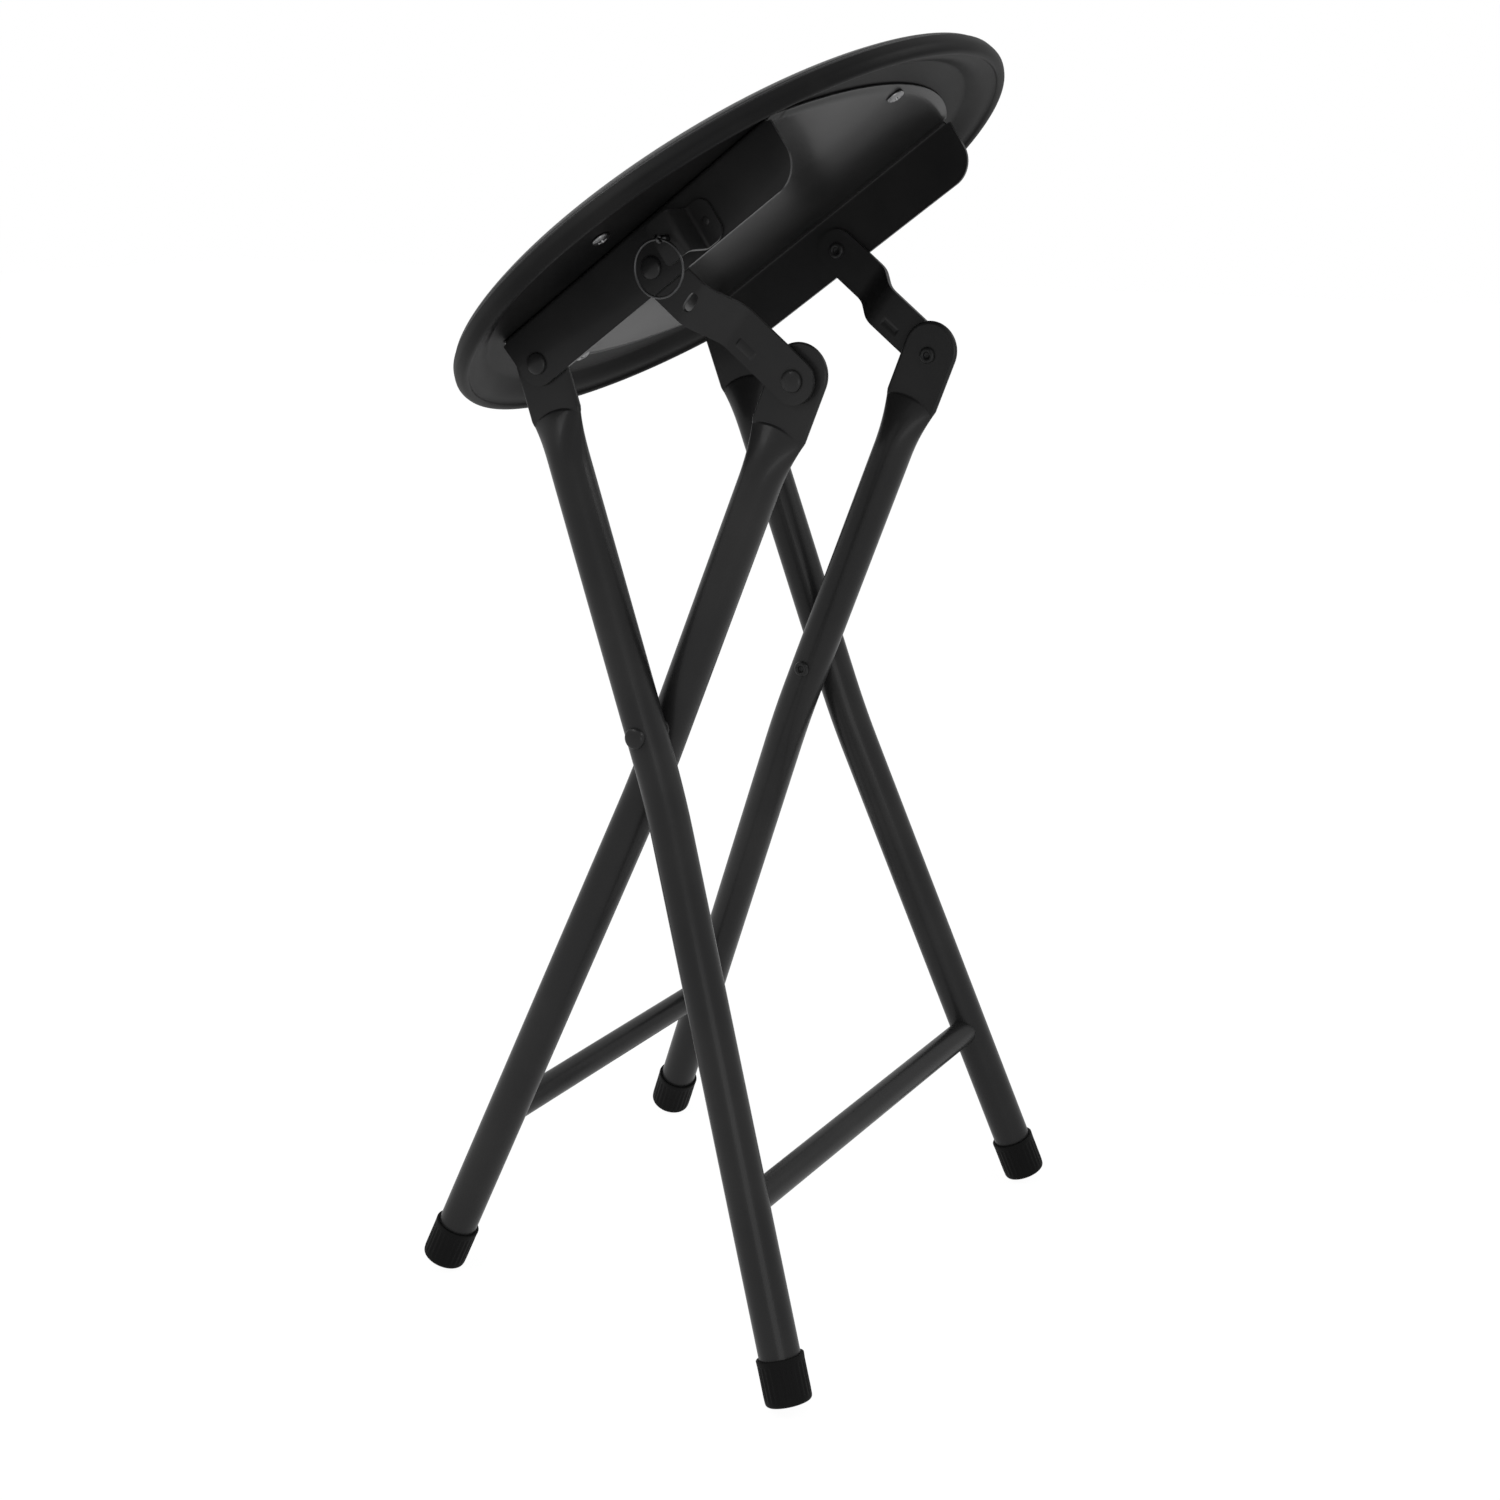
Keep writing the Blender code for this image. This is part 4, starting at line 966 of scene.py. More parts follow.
@dataclass
class Channel(SubAssembly):
    """The pressed channel: flanges, folds, a web with a shallow raised border, and two round tongues."""

    sheet: float = 2.0
    half_width: float = 112.0
    top: float = 24.0
    bottom: float = -13.2
    start: float = -15.0
    end: float = 208.0
    corner: float = 17.0
    nose: float = 13.2
    reach: float = 31.0
    nose_top: float = 2.3
    lean: float = 2.0
    reach: float = 31.0
    relief: float = 3.0
    fold: float = 2.2
    border: float = 11.5
    border_step: float = 0.3
    border_ramp: float = 0.8
    rim: float = 7.0
    rim_sheet: float = 0.7
    pin_at: float = 129.5
    pin_hole: float = 2.4
    drill: Span = (100.0, 118.0)

    def flange_ends(self, level: np.ndarray) -> tuple[np.ndarray, np.ndarray]:
        """Gives where a flange starts and ends at each level.

        The nose is a circle round the pivot and the far corner is a quarter circle.

        Args:
            level: heights above the pivots.

        Returns:
            The start and the end along the channel.
        """
        lean = self.start + (self.top - level) / (self.top - self.nose_top) * self.lean
        nose = -np.sqrt(np.maximum(self.nose**2 - level**2, 0.0))
        begin = np.where(level < self.nose_top, nose, lean)
        drop = self.bottom + self.corner
        curve = np.sqrt(np.maximum(self.corner**2 - (level - drop) ** 2, 0.0))
        finish = np.where(level < drop, self.end - self.corner + curve, self.end)
        return begin, finish

    def bow(self, across: np.ndarray) -> np.ndarray:
        """Gives how far a tongue reaches past the web's end, as an arc of one circle."""
        inset = self.half_width - self.relief
        radius = (inset**2 + self.reach**2) / (2 * self.reach)
        within = np.minimum(np.abs(across), inset)
        return np.sqrt(radius**2 - within**2) - (radius - self.reach)

    def section(self) -> tuple[np.ndarray, np.ndarray, np.ndarray, np.ndarray]:
        """Gives the half section from the low edge of a flange to the middle of the web.

        Returns:
            Distance from the middle plane, level, start and end of each line of points.
        """
        middle = self.half_width - self.sheet / 2
        web = self.top - self.sheet / 2
        drop = self.bottom + self.corner
        low = drop - self.corner * np.cos(quarter(18))
        level = np.concatenate((low, np.linspace(drop, web - self.fold, 8)[1:]))
        begin, finish = self.flange_ends(level)
        bend = quarter(9)[1:]
        inner_border = middle - self.border
        near = np.linspace(middle - self.fold - 0.05, inner_border - 3.0, 22)
        web_across = np.concatenate((near, np.linspace(inner_border - 3.0, 0.0, 26)[1:]))
        ramp = self.border_ramp
        rise = smooth_step(web_across, inner_border - ramp, inner_border + ramp)
        bow = self.bow(web_across)
        across = (
            np.full(level.shape, middle),
            middle - self.fold + self.fold * np.cos(bend),
            web_across,
        )
        levels = (level, web - self.fold + self.fold * np.sin(bend), web - self.border_step * (1.0 - rise))
        begins = (begin, np.full(bend.shape, self.start + self.relief), self.start - bow)
        finishes = (finish, np.full(bend.shape, self.end - self.relief), self.end + bow)
        return tuple(np.concatenate(lines) for lines in (across, levels, begins, finishes))

    def cut_pin_hole(self, channel: Piece) -> None:
        """Cuts the lock pin's hole through the left flange with a bar that is then deleted.

        Args:
            channel: the channel, whose modifiers are applied with the cut.
        """
        inner, outer = self.drill
        hole = self.pin_hole
        line = np.array(((0.0, inner), (hole, inner), (hole, outer), (0.0, outer)))
        grid = revolve(line, 32, Axis.ACROSS, -1.0)
        grid[..., 0] += self.pin_at
        bar = Shell().add(grid, wrap_columns=True).to_object("pin_drill", SEAT, 30.0)
        cut = channel.modifiers.new("pin_hole", "BOOLEAN")
        cut.operation = "DIFFERENCE"
        cut.solver = "EXACT"
        cut.object = bar
        shaped = channel.evaluated_get(bpy.context.evaluated_depsgraph_get())
        mesh = bpy.data.meshes.new_from_object(shaped)
        channel.modifiers.clear()
        channel.data = mesh
        bpy.data.meshes.remove(bar.data)

    def thin_rims(self, channel: Piece) -> None:
        """Marks where the sheet is full, and lays the thinner rims of the tongues against the tray.

        With d the distance from a tongue's rim and m the rim's width, the sheet's weight is the
        smooth step of d / m, and the middle surface rises by half of the thickness that it loses.

        Args:
            channel: the open sheet, whose points are moved and put in a vertex group.
        """
        points = read_points(channel.data)
        along, across, level = np.moveaxis(SEAT.local(points), -1, 0)
        bow = self.bow(across)
        distance = np.minimum(along - (self.start - bow), self.end + bow - along)
        on_web = level > self.top - self.sheet / 2 - self.border_step - 0.1
        weight = np.where(on_web, smooth_step(distance, 0.0, self.rim), 1.0)
        rise = (1.0 - weight) * (self.sheet - self.rim_sheet) / 2
        angle = math.radians(SEAT.turn)
        up = np.array((math.sin(angle), 0.0, math.cos(angle)))
        write_points(channel.data, points + rise[:, None] * up * MM)
        group = channel.vertex_groups.new(name="full_sheet")
        steps = 20
        part = np.round(weight * steps).astype(int)
        for step in range(steps + 1):
            group.add(np.flatnonzero(part == step).tolist(), step / steps, "REPLACE")

    def build(self) -> None:
        """Builds the channel as one sheet, from flange to flange.

        Away from its ends every line of constant section has its points at the same places along
        the channel, so that no face is slanted. Only the last few millimetres are stretched to
        each end.
        """
        across, level, begin, finish = self.section()
        across = np.concatenate((-across, across[-2::-1]))
        level, begin, finish = (np.concatenate((part, part[-2::-1])) for part in (level, begin, finish))
        near, far = self.start + self.relief + 3.0, self.end - self.relief - 3.0
        first = np.where(level < self.nose_top, begin + 4.0, near)[:, None]
        last = np.minimum(finish - 6.0, far)[:, None]
        ends = np.sin(quarter(13))[None]
        inner = np.linspace(0.0, 1.0, 50)[None, 1:-1]
        along = np.concatenate(
            (
                first + (begin[:, None] - first) * ends[:, ::-1],
                first + (last - first) * inner,
                last + (finish[:, None] - last) * ends,
            ),
            axis=1,
        )
        grid = positions(along, across[:, None], level[:, None])
        channel = Shell().add(grid).to_object("pressed_channel", SEAT, 55.0)
        self.thin_rims(channel)
        thicken(channel, self.sheet, 0.35)
        wall = channel.modifiers["wall"]
        wall.vertex_group = "full_sheet"
        wall.thickness_vertex_group = self.rim_sheet / self.sheet
        self.cut_pin_hole(channel)
        self.settle(channel, "seat", Slot.PAINT, "seat_bracket")


@dataclass
class SeatScrews(SubAssembly):
    """Four pan-head screws with cross recesses, up through the channel or tray."""

    centre: float = 94.5
    circle: float = 136.0
    head: float = 5.5
    height: float = 2.5
    edge: float = 0.8
    shank: float = 2.0
    shank_end: float = 28.5
    point: float = 29.5
    under_tray: float = 24.0
    under_web: float = 21.7
    recess: float = 2.1
    bar_half: Span = (0.45, 0.8)
    bar_reach: Span = (2.0, 2.9)
    turn: float = 0.4
    count: int = 72

    def head_grid(self, under: float) -> np.ndarray:
        """Gives the head from its rim to the bottom of its recess.

        The dome falls as (1 - (r/R)^2)^0.6, and the recess is as deep as two crossed bars that fade
        out towards the rim.

        Args:
            under: level that the head hangs from.

        Returns:
            A grid whose columns wrap.
        """
        part = np.concatenate((np.linspace(1.0, 0.62, 8), np.linspace(0.58, 0.0, 16)))[:, None]
        angle = around(self.count, 0.5) + self.turn
        radius = self.head * part
        x, y = radius * np.cos(angle), radius * np.sin(angle)
        cos, sin = math.cos(self.turn), math.sin(self.turn)
        turned = np.abs(np.stack((x * cos + y * sin, y * cos - x * sin)))
        bars = (1.0 - smooth_step(turned, *self.bar_half)) * (1.0 - smooth_step(turned[::-1], *self.bar_reach))
        dome = self.edge + (self.height - self.edge) * (1.0 - part**2) ** 0.6
        depth = dome - self.recess * bars.max(axis=0)
        return np.stack((x, y, under - depth), axis=-1)

    def build(self) -> None:
        """Builds the four screws."""
        for number in range(4):
            turn = number * math.pi / 2
            centre = self.centre + self.circle * math.cos(turn)
            place = np.array((centre, self.circle * math.sin(turn), 0.0))
            under = self.under_tray if number % 2 else self.under_web
            line = rounded_line(
                [
                    (self.head, under - self.edge, 0.0),
                    (self.head, under, 0.3),
                    (self.shank, under, 0.1),
                    (self.shank, self.shank_end, 0.3),
                    (0.0, self.point, 0.0),
                ],
                3,
            )
            angle = around(self.count, 0.5) + self.turn
            ring = positions(line[:, :1] * np.cos(angle), line[:, :1] * np.sin(angle), line[:, 1:])
            shell = Shell().add(self.head_grid(under) + place, wrap_columns=True)
            shell.add(ring + place, wrap_columns=True)
            screw = shell.to_object(f"cross_screw_{number + 1}", SEAT, 45.0)
            self.settle(screw, "seat", Slot.ZINC, f"seat_screw_{number + 1}")


# The legs


@dataclass
class LegFrame(SubAssembly):
    """Two bent legs with pressed flat tops, their rubber feet and the bar between them."""

    word: str = "outer"
    body: str = "outer_legs"
    place: Place = OUTER
    top_y: float = 107.0
    cross_y: float = 114.8
    foot_y: float = 173.0
    lower: float = 401.0
    tip: float = 19.0
    cross_down: float = 227.3
    bend_below: float = 40.0
    softness: float = 24.0
    radius: float = 12.7
    flat_width: float = 18.3
    flat_thick: float = 2.0
    flat_length: float = 31.0
    cone: float = 36.0
    crimp_rows: Span = (3.0, 5.0)
    crimp_turn: float = 1.4
    crimp_bow: float = 5.0
    crimp_step: float = 1.1
    tube_end: float = 4.3
    bar_radius: float = 9.0
    bar_height: float = 117.0
    cap_wall: float = 1.8
    cap_length: float = 28.0
    cap_floor: float = 4.5
    ribs: int = 26
    rib_depth: float = 0.45

    @property
    def length(self) -> float:
        """Gives the length from the top pivot to the floor end."""
        return self.cross_down + self.lower

    def line(self, down: np.ndarray | float) -> np.ndarray:
        """Gives the centre line's distance from the middle plane.

        It is a straight line to the bend, then a parabola over the bend, then a steeper straight line.

        Args:
            down: distances below the top pivot.

        Returns:
            The distances from the middle plane.
        """
        down = np.asarray(down, dtype=float)
        upper = (self.cross_y - self.top_y) / self.cross_down
        slope = (self.foot_y - self.cross_y - upper * self.bend_below) / (self.lower - self.bend_below)
        past = down - (self.cross_down + self.bend_below)
        soft = (past + self.softness) ** 2 / (4 * self.softness)
        extra = np.where(past <= -self.softness, 0.0, np.where(past >= self.softness, past, soft))
        return self.top_y + upper * down + (slope - upper) * extra

    def rows(self) -> np.ndarray:
        """Gives the distances below the pivot at which a leg has a ring of points."""
        centre = self.flat_width - self.tip
        tip = centre - self.flat_width * np.sin(np.linspace(math.pi / 2, 0.0, 20))
        flat_end = self.flat_length - self.crimp_rows[0]
        cone_start = self.flat_length + self.crimp_rows[1]
        flat = np.linspace(centre, flat_end, 14)[1:-1]
        near = np.linspace(flat_end, cone_start, 28)
        far = cone_start + (self.cone - self.crimp_rows[1]) * np.linspace(0.0, 1.0, 26)[1:]
        bend = self.cross_down + self.bend_below
        upper = np.linspace(self.flat_length + self.cone, bend - self.softness, 8)[1:]
        curve = np.linspace(bend - self.softness, bend + self.softness, 16)[1:]
        lower = np.linspace(bend + self.softness, self.length - self.tube_end, 8)[1:]
        return np.concatenate((tip, flat, near, far, upper, curve, lower))

    def tube_grid(self, sign: float, count: int = 96) -> np.ndarray:
        """Gives the skin of one leg.

        Across a ring x = w cos a. The pressed flat has half thickness f E, where E rounds its folded
        edge. Past the crimp, which bows towards the tip as (x/w)^2, the half thickness goes over to
        an ellipse b sqrt(1 - (x/w)^2), whose height b grows from the flat's to the tube's radius.

        Args:
            sign: side of the middle plane.
            count: points in each ring.

        Returns:
            A grid whose columns wrap, with a pole at each end.
        """
        down = self.rows()[:, None]
        centre = self.flat_width - self.tip
        open_part = np.clip((down - self.flat_length) / self.cone, 0.0, 1.0)
        ease = np.sin(open_part * math.pi / 2)
        width = self.flat_width + (self.radius - self.flat_width) * ease
        above = np.minimum(down - centre, 0.0)
        tip_width = np.sqrt(np.maximum(self.flat_width**2 - above**2, 0.0))
        width = np.where(down < centre, tip_width, width)
        angle = around(count, 0.5)
        x = width * np.cos(angle)
        across = np.abs(np.cos(angle)) + 0.0 * down
        from_tip = np.hypot(x, above)
        edge_at = np.where(down < centre, self.flat_width, width)
        edge = self.flat_thick
        fold = np.sqrt(np.maximum(1.0 - np.clip((from_tip - (edge_at - edge)) / edge, 0.0, 1.0) ** 2, 0.0))
        past = down - (self.flat_length + self.crimp_bow * (across**2 - 0.5))
        rise = np.sin(np.clip(past / self.cone, 0.0, 1.0) * math.pi / 2)
        flat = self.flat_thick + self.crimp_step
        height = flat + (self.radius - self.flat_thick - self.crimp_step) * rise
        round_half = height * np.sqrt(np.maximum(1.0 - across**2, 0.0))
        turn = smooth_step(past, 0.0, self.crimp_turn)
        half = np.sign(np.sin(angle)) * (self.flat_thick * fold * (1.0 - turn) + round_half * turn)
        slope = (self.line(down + 1.0) - self.line(down - 1.0)) / 2.0
        unit = 1.0 / np.sqrt(1.0 + slope**2)
        skin = positions(x, sign * (self.line(down) + half * unit), -down + half * slope * unit)
        last = self.length - self.tube_end
        end = np.array((0.0, sign * float(self.line(last)), -last))
        return np.concatenate((skin, np.broadcast_to(end, (1, count, 3))))

    def foot_grid(self, sign: float, count: int = 208) -> np.ndarray:
        """Gives a ribbed rubber cap.

        Its radius is R + h cos^2(n a / 2) between a plain rim and a rounded base, where h fades out at
        both ends. The cap then turns in over its rim and down inside to a closed floor.

        Args:
            sign: side of the middle plane.
            count: points round the cap.

        Returns:
            A grid whose columns wrap, with a pole at each end.
        """
        inner = self.radius + 0.1
        outer = self.radius + self.cap_wall
        line = rounded_line(
            [
                (0.0, 0.0, 0.0),
                (outer - 3.2, 0.0, 2.5),
                (outer - 0.4, 0.5, 2.6),
                (outer, 4.4, 2.4),
                (outer, 12.0, 3.0),
                (outer, self.cap_length - 3.2, 1.0),
                (outer + 0.15, self.cap_length, 0.7),
                (inner, self.cap_length, 0.4),
                (inner, self.cap_length - 3.0, 0.4),
                (inner, self.cap_floor, 0.3),
                (0.0, self.cap_floor, 0.0),
            ],
            6,
        )
        radius, height = line[:, :1], line[:, 1:]
        angle = around(count)
        outside = (np.arange(len(line)) < len(line) // 2 + 8)[:, None] & (radius > outer - 2.2)
        rim = 1.0 - smooth_step(height, self.cap_length - 4.5, self.cap_length - 3.0)
        fade = smooth_step(height, 2.5, 7.0) * rim
        radius = radius - self.rib_depth * np.sin(self.ribs * angle / 2) ** 2 * fade * outside
        slope = float(self.line(self.length) - self.line(self.length - 10.0)) / 10.0
        unit = 1.0 / math.sqrt(1.0 + slope**2)
        up = np.array((0.0, -sign * slope * unit, unit))
        first = np.array((1.0, 0.0, 0.0))
        second = np.cross(up, first)
        ring = radius[..., None] * (np.cos(angle)[:, None] * first + np.sin(angle)[:, None] * second)
        base = np.array((0.0, sign * float(self.line(self.length)), -self.length))
        return base + ring + height[..., None] * up

    def bar_grid(self, count: int = 64) -> np.ndarray:
        """Gives the bar between the legs.

        Each end follows the leg: |y| = line(z) - sqrt(R^2 - x^2) sqrt(1 + slope^2), on the circle
        x = r cos a, z = r sin a.

        Args:
            count: points round the bar.

        Returns:
            A grid whose columns wrap, with a pole at each end.
        """
        down = self.length - self.bar_height
        angle = around(count)
        x, z = self.bar_radius * np.cos(angle), self.bar_radius * np.sin(angle)
        slope = float(self.line(down + 10.0) - self.line(down - 10.0)) / 20.0
        saddle = np.sqrt(self.radius**2 - x**2) * math.sqrt(1.0 + slope**2)
        reach = self.line(down - z) - saddle + 0.15
        part = np.concatenate(([-1.0, -0.995], np.linspace(-0.985, 0.985, 15), [0.995, 1.0]))[:, None]
        grid = positions(x, part * reach, z - down)
        stop = reach.min() - 2.0
        ends = [np.broadcast_to(np.array((0.0, sign * stop, -down)), (1, count, 3)) for sign in (-1.0, 1.0)]
        return np.concatenate((ends[0], grid, ends[1]))

    def build(self) -> None:
        """Builds both legs, both feet and the bar."""
        word, body = self.word, self.body
        for side in Side:
            tube, foot = self.tube_grid(side.value), self.foot_grid(side.value)
            names = f"{word}_tube_{side.word}", f"{word}_leg_{side.word}"
            self.make(names[0], tube, self.place, 48.0, body, Slot.PAINT, names[1])
            names = f"{word}_cap_{side.word}", f"{word}_foot_{side.word}"
            self.make(names[0], foot, self.place, 50.0, body, Slot.RUBBER, names[1])
        self.make(f"{word}_bar", self.bar_grid(), self.place, 60.0, body, Slot.PAINT, f"{word}_crossbar")


# Rivets and washers


@dataclass(frozen=True)
class Pivot:
    """A whole rivet: its words, body and frame, the faces it grips, and a tube it may sit on."""

    name: str
    node: str
    body: str
    place: Place
    face: float
    back: float
    saddle: float = 0.0


@dataclass(frozen=True)
class Spacer:
    """A washer or bush: its words, body, frame and slot, its two faces and its outer radius."""

    name: str
    node: str
    body: str
    place: Place
    slot: Slot
    start: float
    end: float
    radius: float


PIVOTS = (
    Pivot("seat_rivet", "outer_leg_rivet", "outer_pivot", SEAT, 112.0, 105.0),
    Pivot("link_rivet", "link_top_rivet", "link_pivot", LINKS, 112.0, 107.2),
    Pivot("crossing_rivet", "cross_rivet", "cross_pivot", CROSSING, 127.5, 74.9, 12.7),
)
SPACERS = (
    Spacer("crossing_bush", "cross_washer", "cross_pivot", CROSSING, Slot.NYLON, 100.4, 101.9, 7.0),
    Spacer("low_washer", "link_washer", "links", LINK_END, Slot.ZINC, 86.3, 87.7, 11.0),
)


@dataclass
class Rivets(SubAssembly):
    """Domed rivets with hollow spread tails, and the washers between the layers."""

    radius: float = 4.0
    head: float = 6.5
    height: float = 3.0
    edge: float = 0.6
    tail: float = 5.2
    tail_height: float = 2.2
    gap: float = 0.15
    grip: float = 0.1
    head_end: float = 86.3
    tail_start: float = 86.0
    link_face: float = 90.5
    leg_back: float = 82.0
    count: int = 56

    def dome(self, base: float) -> np.ndarray:
        """Gives a head's half section from its crown to its underside, as a quarter ellipse on an edge."""
        angle = np.radians(np.linspace(90.0, 0.0, 16))
        radius = self.head * np.cos(angle)
        level = base + self.edge + (self.height - self.edge) * np.sin(angle) ** 0.9
        radius[0] = 0.0
        return np.stack((radius, level), axis=-1)

    def spread_tail(self, base: float) -> np.ndarray:
        """Gives a tail's half section from the shank round the spread lip and into its hollow."""
        end = base - self.tail_height
        return rounded_line(
            [
                (self.radius, base, 0.0),
                (self.tail, base, 0.3),
                (self.tail, base - 0.7, 0.5),
                (self.tail - 0.8, end, 0.9),
                (self.radius / 2 + 0.5, end, 0.9),
                (self.radius / 2 - 0.2, end + 2.0, 0.6),
                (0.0, end + 2.2, 0.0),
            ],
            5,
        )

    def turned(self, line: np.ndarray, side: Side) -> np.ndarray:
        """Turns a half section about the pivot's axis, on one side."""
        return revolve(line, self.count, Axis.ACROSS, side.value)

    def whole(self, side: Side, pivot: Pivot) -> np.ndarray:
        """Gives a rivet from its dome to its tail.

        Args:
            side: side of the middle plane.
            pivot: the faces that it grips. Over a tube, the head's skirt follows the tube.

        Returns:
            A grid whose columns wrap.
        """
        base = pivot.face + self.gap
        skirt = np.array(((self.head, base), (self.radius, base)))
        dome = self.dome(base)
        tail = self.spread_tail(pivot.back - self.grip)
        grid = self.turned(np.concatenate((dome, skirt, tail)), side)
        if pivot.saddle:
            rim = slice(len(dome) - 1, len(dome) + 1)
            drop = pivot.saddle - np.sqrt(pivot.saddle**2 - grid[rim, :, 0] ** 2)
            grid[rim, :, 1] -= side.value * (drop + 0.3)
        return grid

    def washer(self, side: Side, spacer: Spacer) -> np.ndarray:
        """Gives a washer with eased edges.

        Args:
            side: side of the middle plane.
            spacer: its faces and its outer radius.

        Returns:
            A grid whose columns wrap.
        """
        start, end, radius = spacer.start, spacer.end, spacer.radius
        hole, ease, middle = self.radius + 0.2, min(0.35, (end - start) / 4), (start + end) / 2
        corners = [(hole, start, ease), (radius, start, ease), (radius, end, ease), (hole, end, ease)]
        line = rounded_line([(hole, middle, 0.0), *corners, (hole, middle, 0.0)], 4)
        return self.turned(line, side)

    def build(self) -> None:
        """Builds the rivets and washers at the four pivots on each side."""
        for side in Side:
            word = side.word
            for part in PIVOTS:
                names = f"{part.name}_{word}", f"{part.node}_{word}"
                self.make(names[0], self.whole(side, part), part.place, 50.0, part.body, Slot.PAINT, names[1])
            for part in SPACERS:
                names = f"{part.name}_{word}", f"{part.node}_{word}"
                self.make(names[0], self.washer(side, part), part.place, 50.0, part.body, part.slot, names[1])
            base, end = self.link_face + self.gap, self.head_end
            skirt = ((self.head, base), (self.radius, base), (self.radius, end), (0.0, end))
            head = self.turned(np.concatenate((self.dome(base), np.array(skirt))), side)
            name, node = f"low_rivet_head_{word}", f"link_low_rivet_head_{word}"
            self.make(name, head, LINK_END, 50.0, "links", Slot.PAINT, node)
            shank = np.array(((0.0, self.tail_start), (self.radius, self.tail_start)))
            line = np.concatenate((shank, self.spread_tail(self.leg_back - self.grip)))
            name, node = f"low_rivet_tail_{word}", f"link_low_rivet_tail_{word}"
            self.make(name, self.turned(line, side), INNER, 50.0, "inner_legs", Slot.PAINT, node)


# The links


@dataclass
class LinkPair(SubAssembly):
    """Two pressed straps with round ends, a joggle and a plain raised pad, one slotted for the pin."""

    length: float = 99.5
    half: float = 13.5
    sheet: float = 2.5
    top_y: float = 108.45
    low_y: float = 89.25
    joggle: tuple[float, float] = (34.0, 51.0)
    lap: float = 4.6
    slot_at: float = 30.0
    slot_width: float = 5.6
    slot_height: float = 12.0
    slot_room: float = 3.2
    pad_at: Span = (66.0, -5.5)
    pad_size: Span = (6.2, 1.9)
    pad_rise: float = 0.7
    pad_ramp: float = 0.45
    rows: int = 37
    slot_rows: int = 17

    @property
    def pad_edges(self) -> tuple[float, float]:
        """Gives where the raised pad starts and ends along the strap."""
        return self.pad_at[0] - self.pad_size[0], self.pad_at[0] + self.pad_size[0]

    def dressed(self, plan: np.ndarray, sign: float) -> np.ndarray:
        """Lifts plan points onto the strap's middle surface.

        The joggle is a straight ramp with rounded shoulders, and the raised pad is a plateau with
        sloping sides.

        Args:
            plan: points as (along, across).
            sign: side of the middle plane.

        Returns:
            The points in the strap's frame.
        """
        x, z = plan[..., 0], plan[..., 1]
        start, end = self.joggle
        ramp = (self.soft_ramp(x - start, self.lap) - self.soft_ramp(x - end, self.lap)) / (end - start)
        y = self.top_y + (self.low_y - self.top_y) * ramp
        near_x, near_z = (
            1.0 - smooth_step(np.abs(value - at), size - self.pad_ramp, size + self.pad_ramp)
            for value, at, size in zip((x, z), self.pad_at, self.pad_size)
        )
        return np.stack((x, sign * (y + self.pad_rise * near_x * near_z), z), axis=-1)

    @staticmethod
    def soft_ramp(past: np.ndarray, lap: float) -> np.ndarray:
        """Gives 0 before a point and the distance past it after, with a parabola of width lap between."""
        soft = (past + lap) ** 2 / (4 * lap)
        return np.where(past <= -lap, 0.0, np.where(past >= lap, past, soft))

    def strip(self, along: np.ndarray) -> np.ndarray:
        """Gives plan points between the strap's edges, which are half circles at its ends."""
        beyond = np.maximum(np.maximum(-along, along - self.length), 0.0)
        width = np.sqrt(np.maximum(self.half**2 - beyond**2, 0.0))
        return positions(along[:, None], width[:, None] * np.linspace(-1.0, 1.0, self.rows))

    def round_slot(self, start: float, end: float) -> np.ndarray:
        """Gives plan points between the slot and a square round it.

        Both outlines have as many points, and each line of the grid goes straight from one to the
        other. The outer points fall on those of the strips at each side.

        Args:
            start: where the square starts along the strap.
            end: where it ends.

        Returns:
            Plan points, whose columns wrap.
        """
        across = np.linspace(-self.half, self.half, self.rows)
        along = np.linspace(start, end, self.slot_rows)
        outer = np.concatenate(
            (
                positions(end, across),
                positions(along[-2:0:-1], self.half),
                positions(start, across[::-1]),
                positions(along[1:-1], -self.half),
            )
        )
        turn = np.arctan2(outer[:, 1] * 0.55, outer[:, 0] - self.slot_at)
        radius = self.slot_width / 2
        straight = self.slot_height / 2 - radius
        side = radius * np.sin(turn) + straight * np.clip(np.sin(turn) * 1.6, -1.0, 1.0)
        inner = positions(self.slot_at + radius * np.cos(turn), side)
        part = np.linspace(0.0, 1.0, 7)[:, None, None] ** 1.2
        return inner[None] + (outer - inner)[None] * part

    def build(self) -> None:
        """Builds both straps, with lines of points gathered at the bends and at the raised pad."""
        round_end = self.half * np.sin(np.linspace(math.pi / 2, 0.0, 18))
        start, end = self.slot_at - self.slot_room, self.slot_at + self.slot_room
        bends = [np.linspace(at - 1.6, at + 1.6, 11) for at in (*self.joggle, *self.pad_edges)]
        later = np.unique(np.round(np.concatenate((np.linspace(end, self.length, 48), *bends)), 4))
        first = np.concatenate((-round_end, np.linspace(0.0, start, 20)[1:]))
        second = np.concatenate((later[later >= end], self.length + round_end[::-1][1:]))
        beside = np.linspace(start, end, self.slot_rows)[1:-1]
        for side in Side:
            shell = Shell()
            slotted = side is Side.LEFT
            for along in (first, second) if slotted else (np.concatenate((first, beside, second)),):
                shell.add(self.dressed(self.strip(along), side.value))
            if slotted:
                shell.add(self.dressed(self.round_slot(start, end), side.value), wrap_columns=True)
            strap = shell.to_object(f"joggled_strap_{side.word}", LINKS, 55.0)
            thicken(strap, self.sheet, 0.4)
            self.settle(strap, "links", Slot.PAINT, f"link_{side.word}")


# The lock


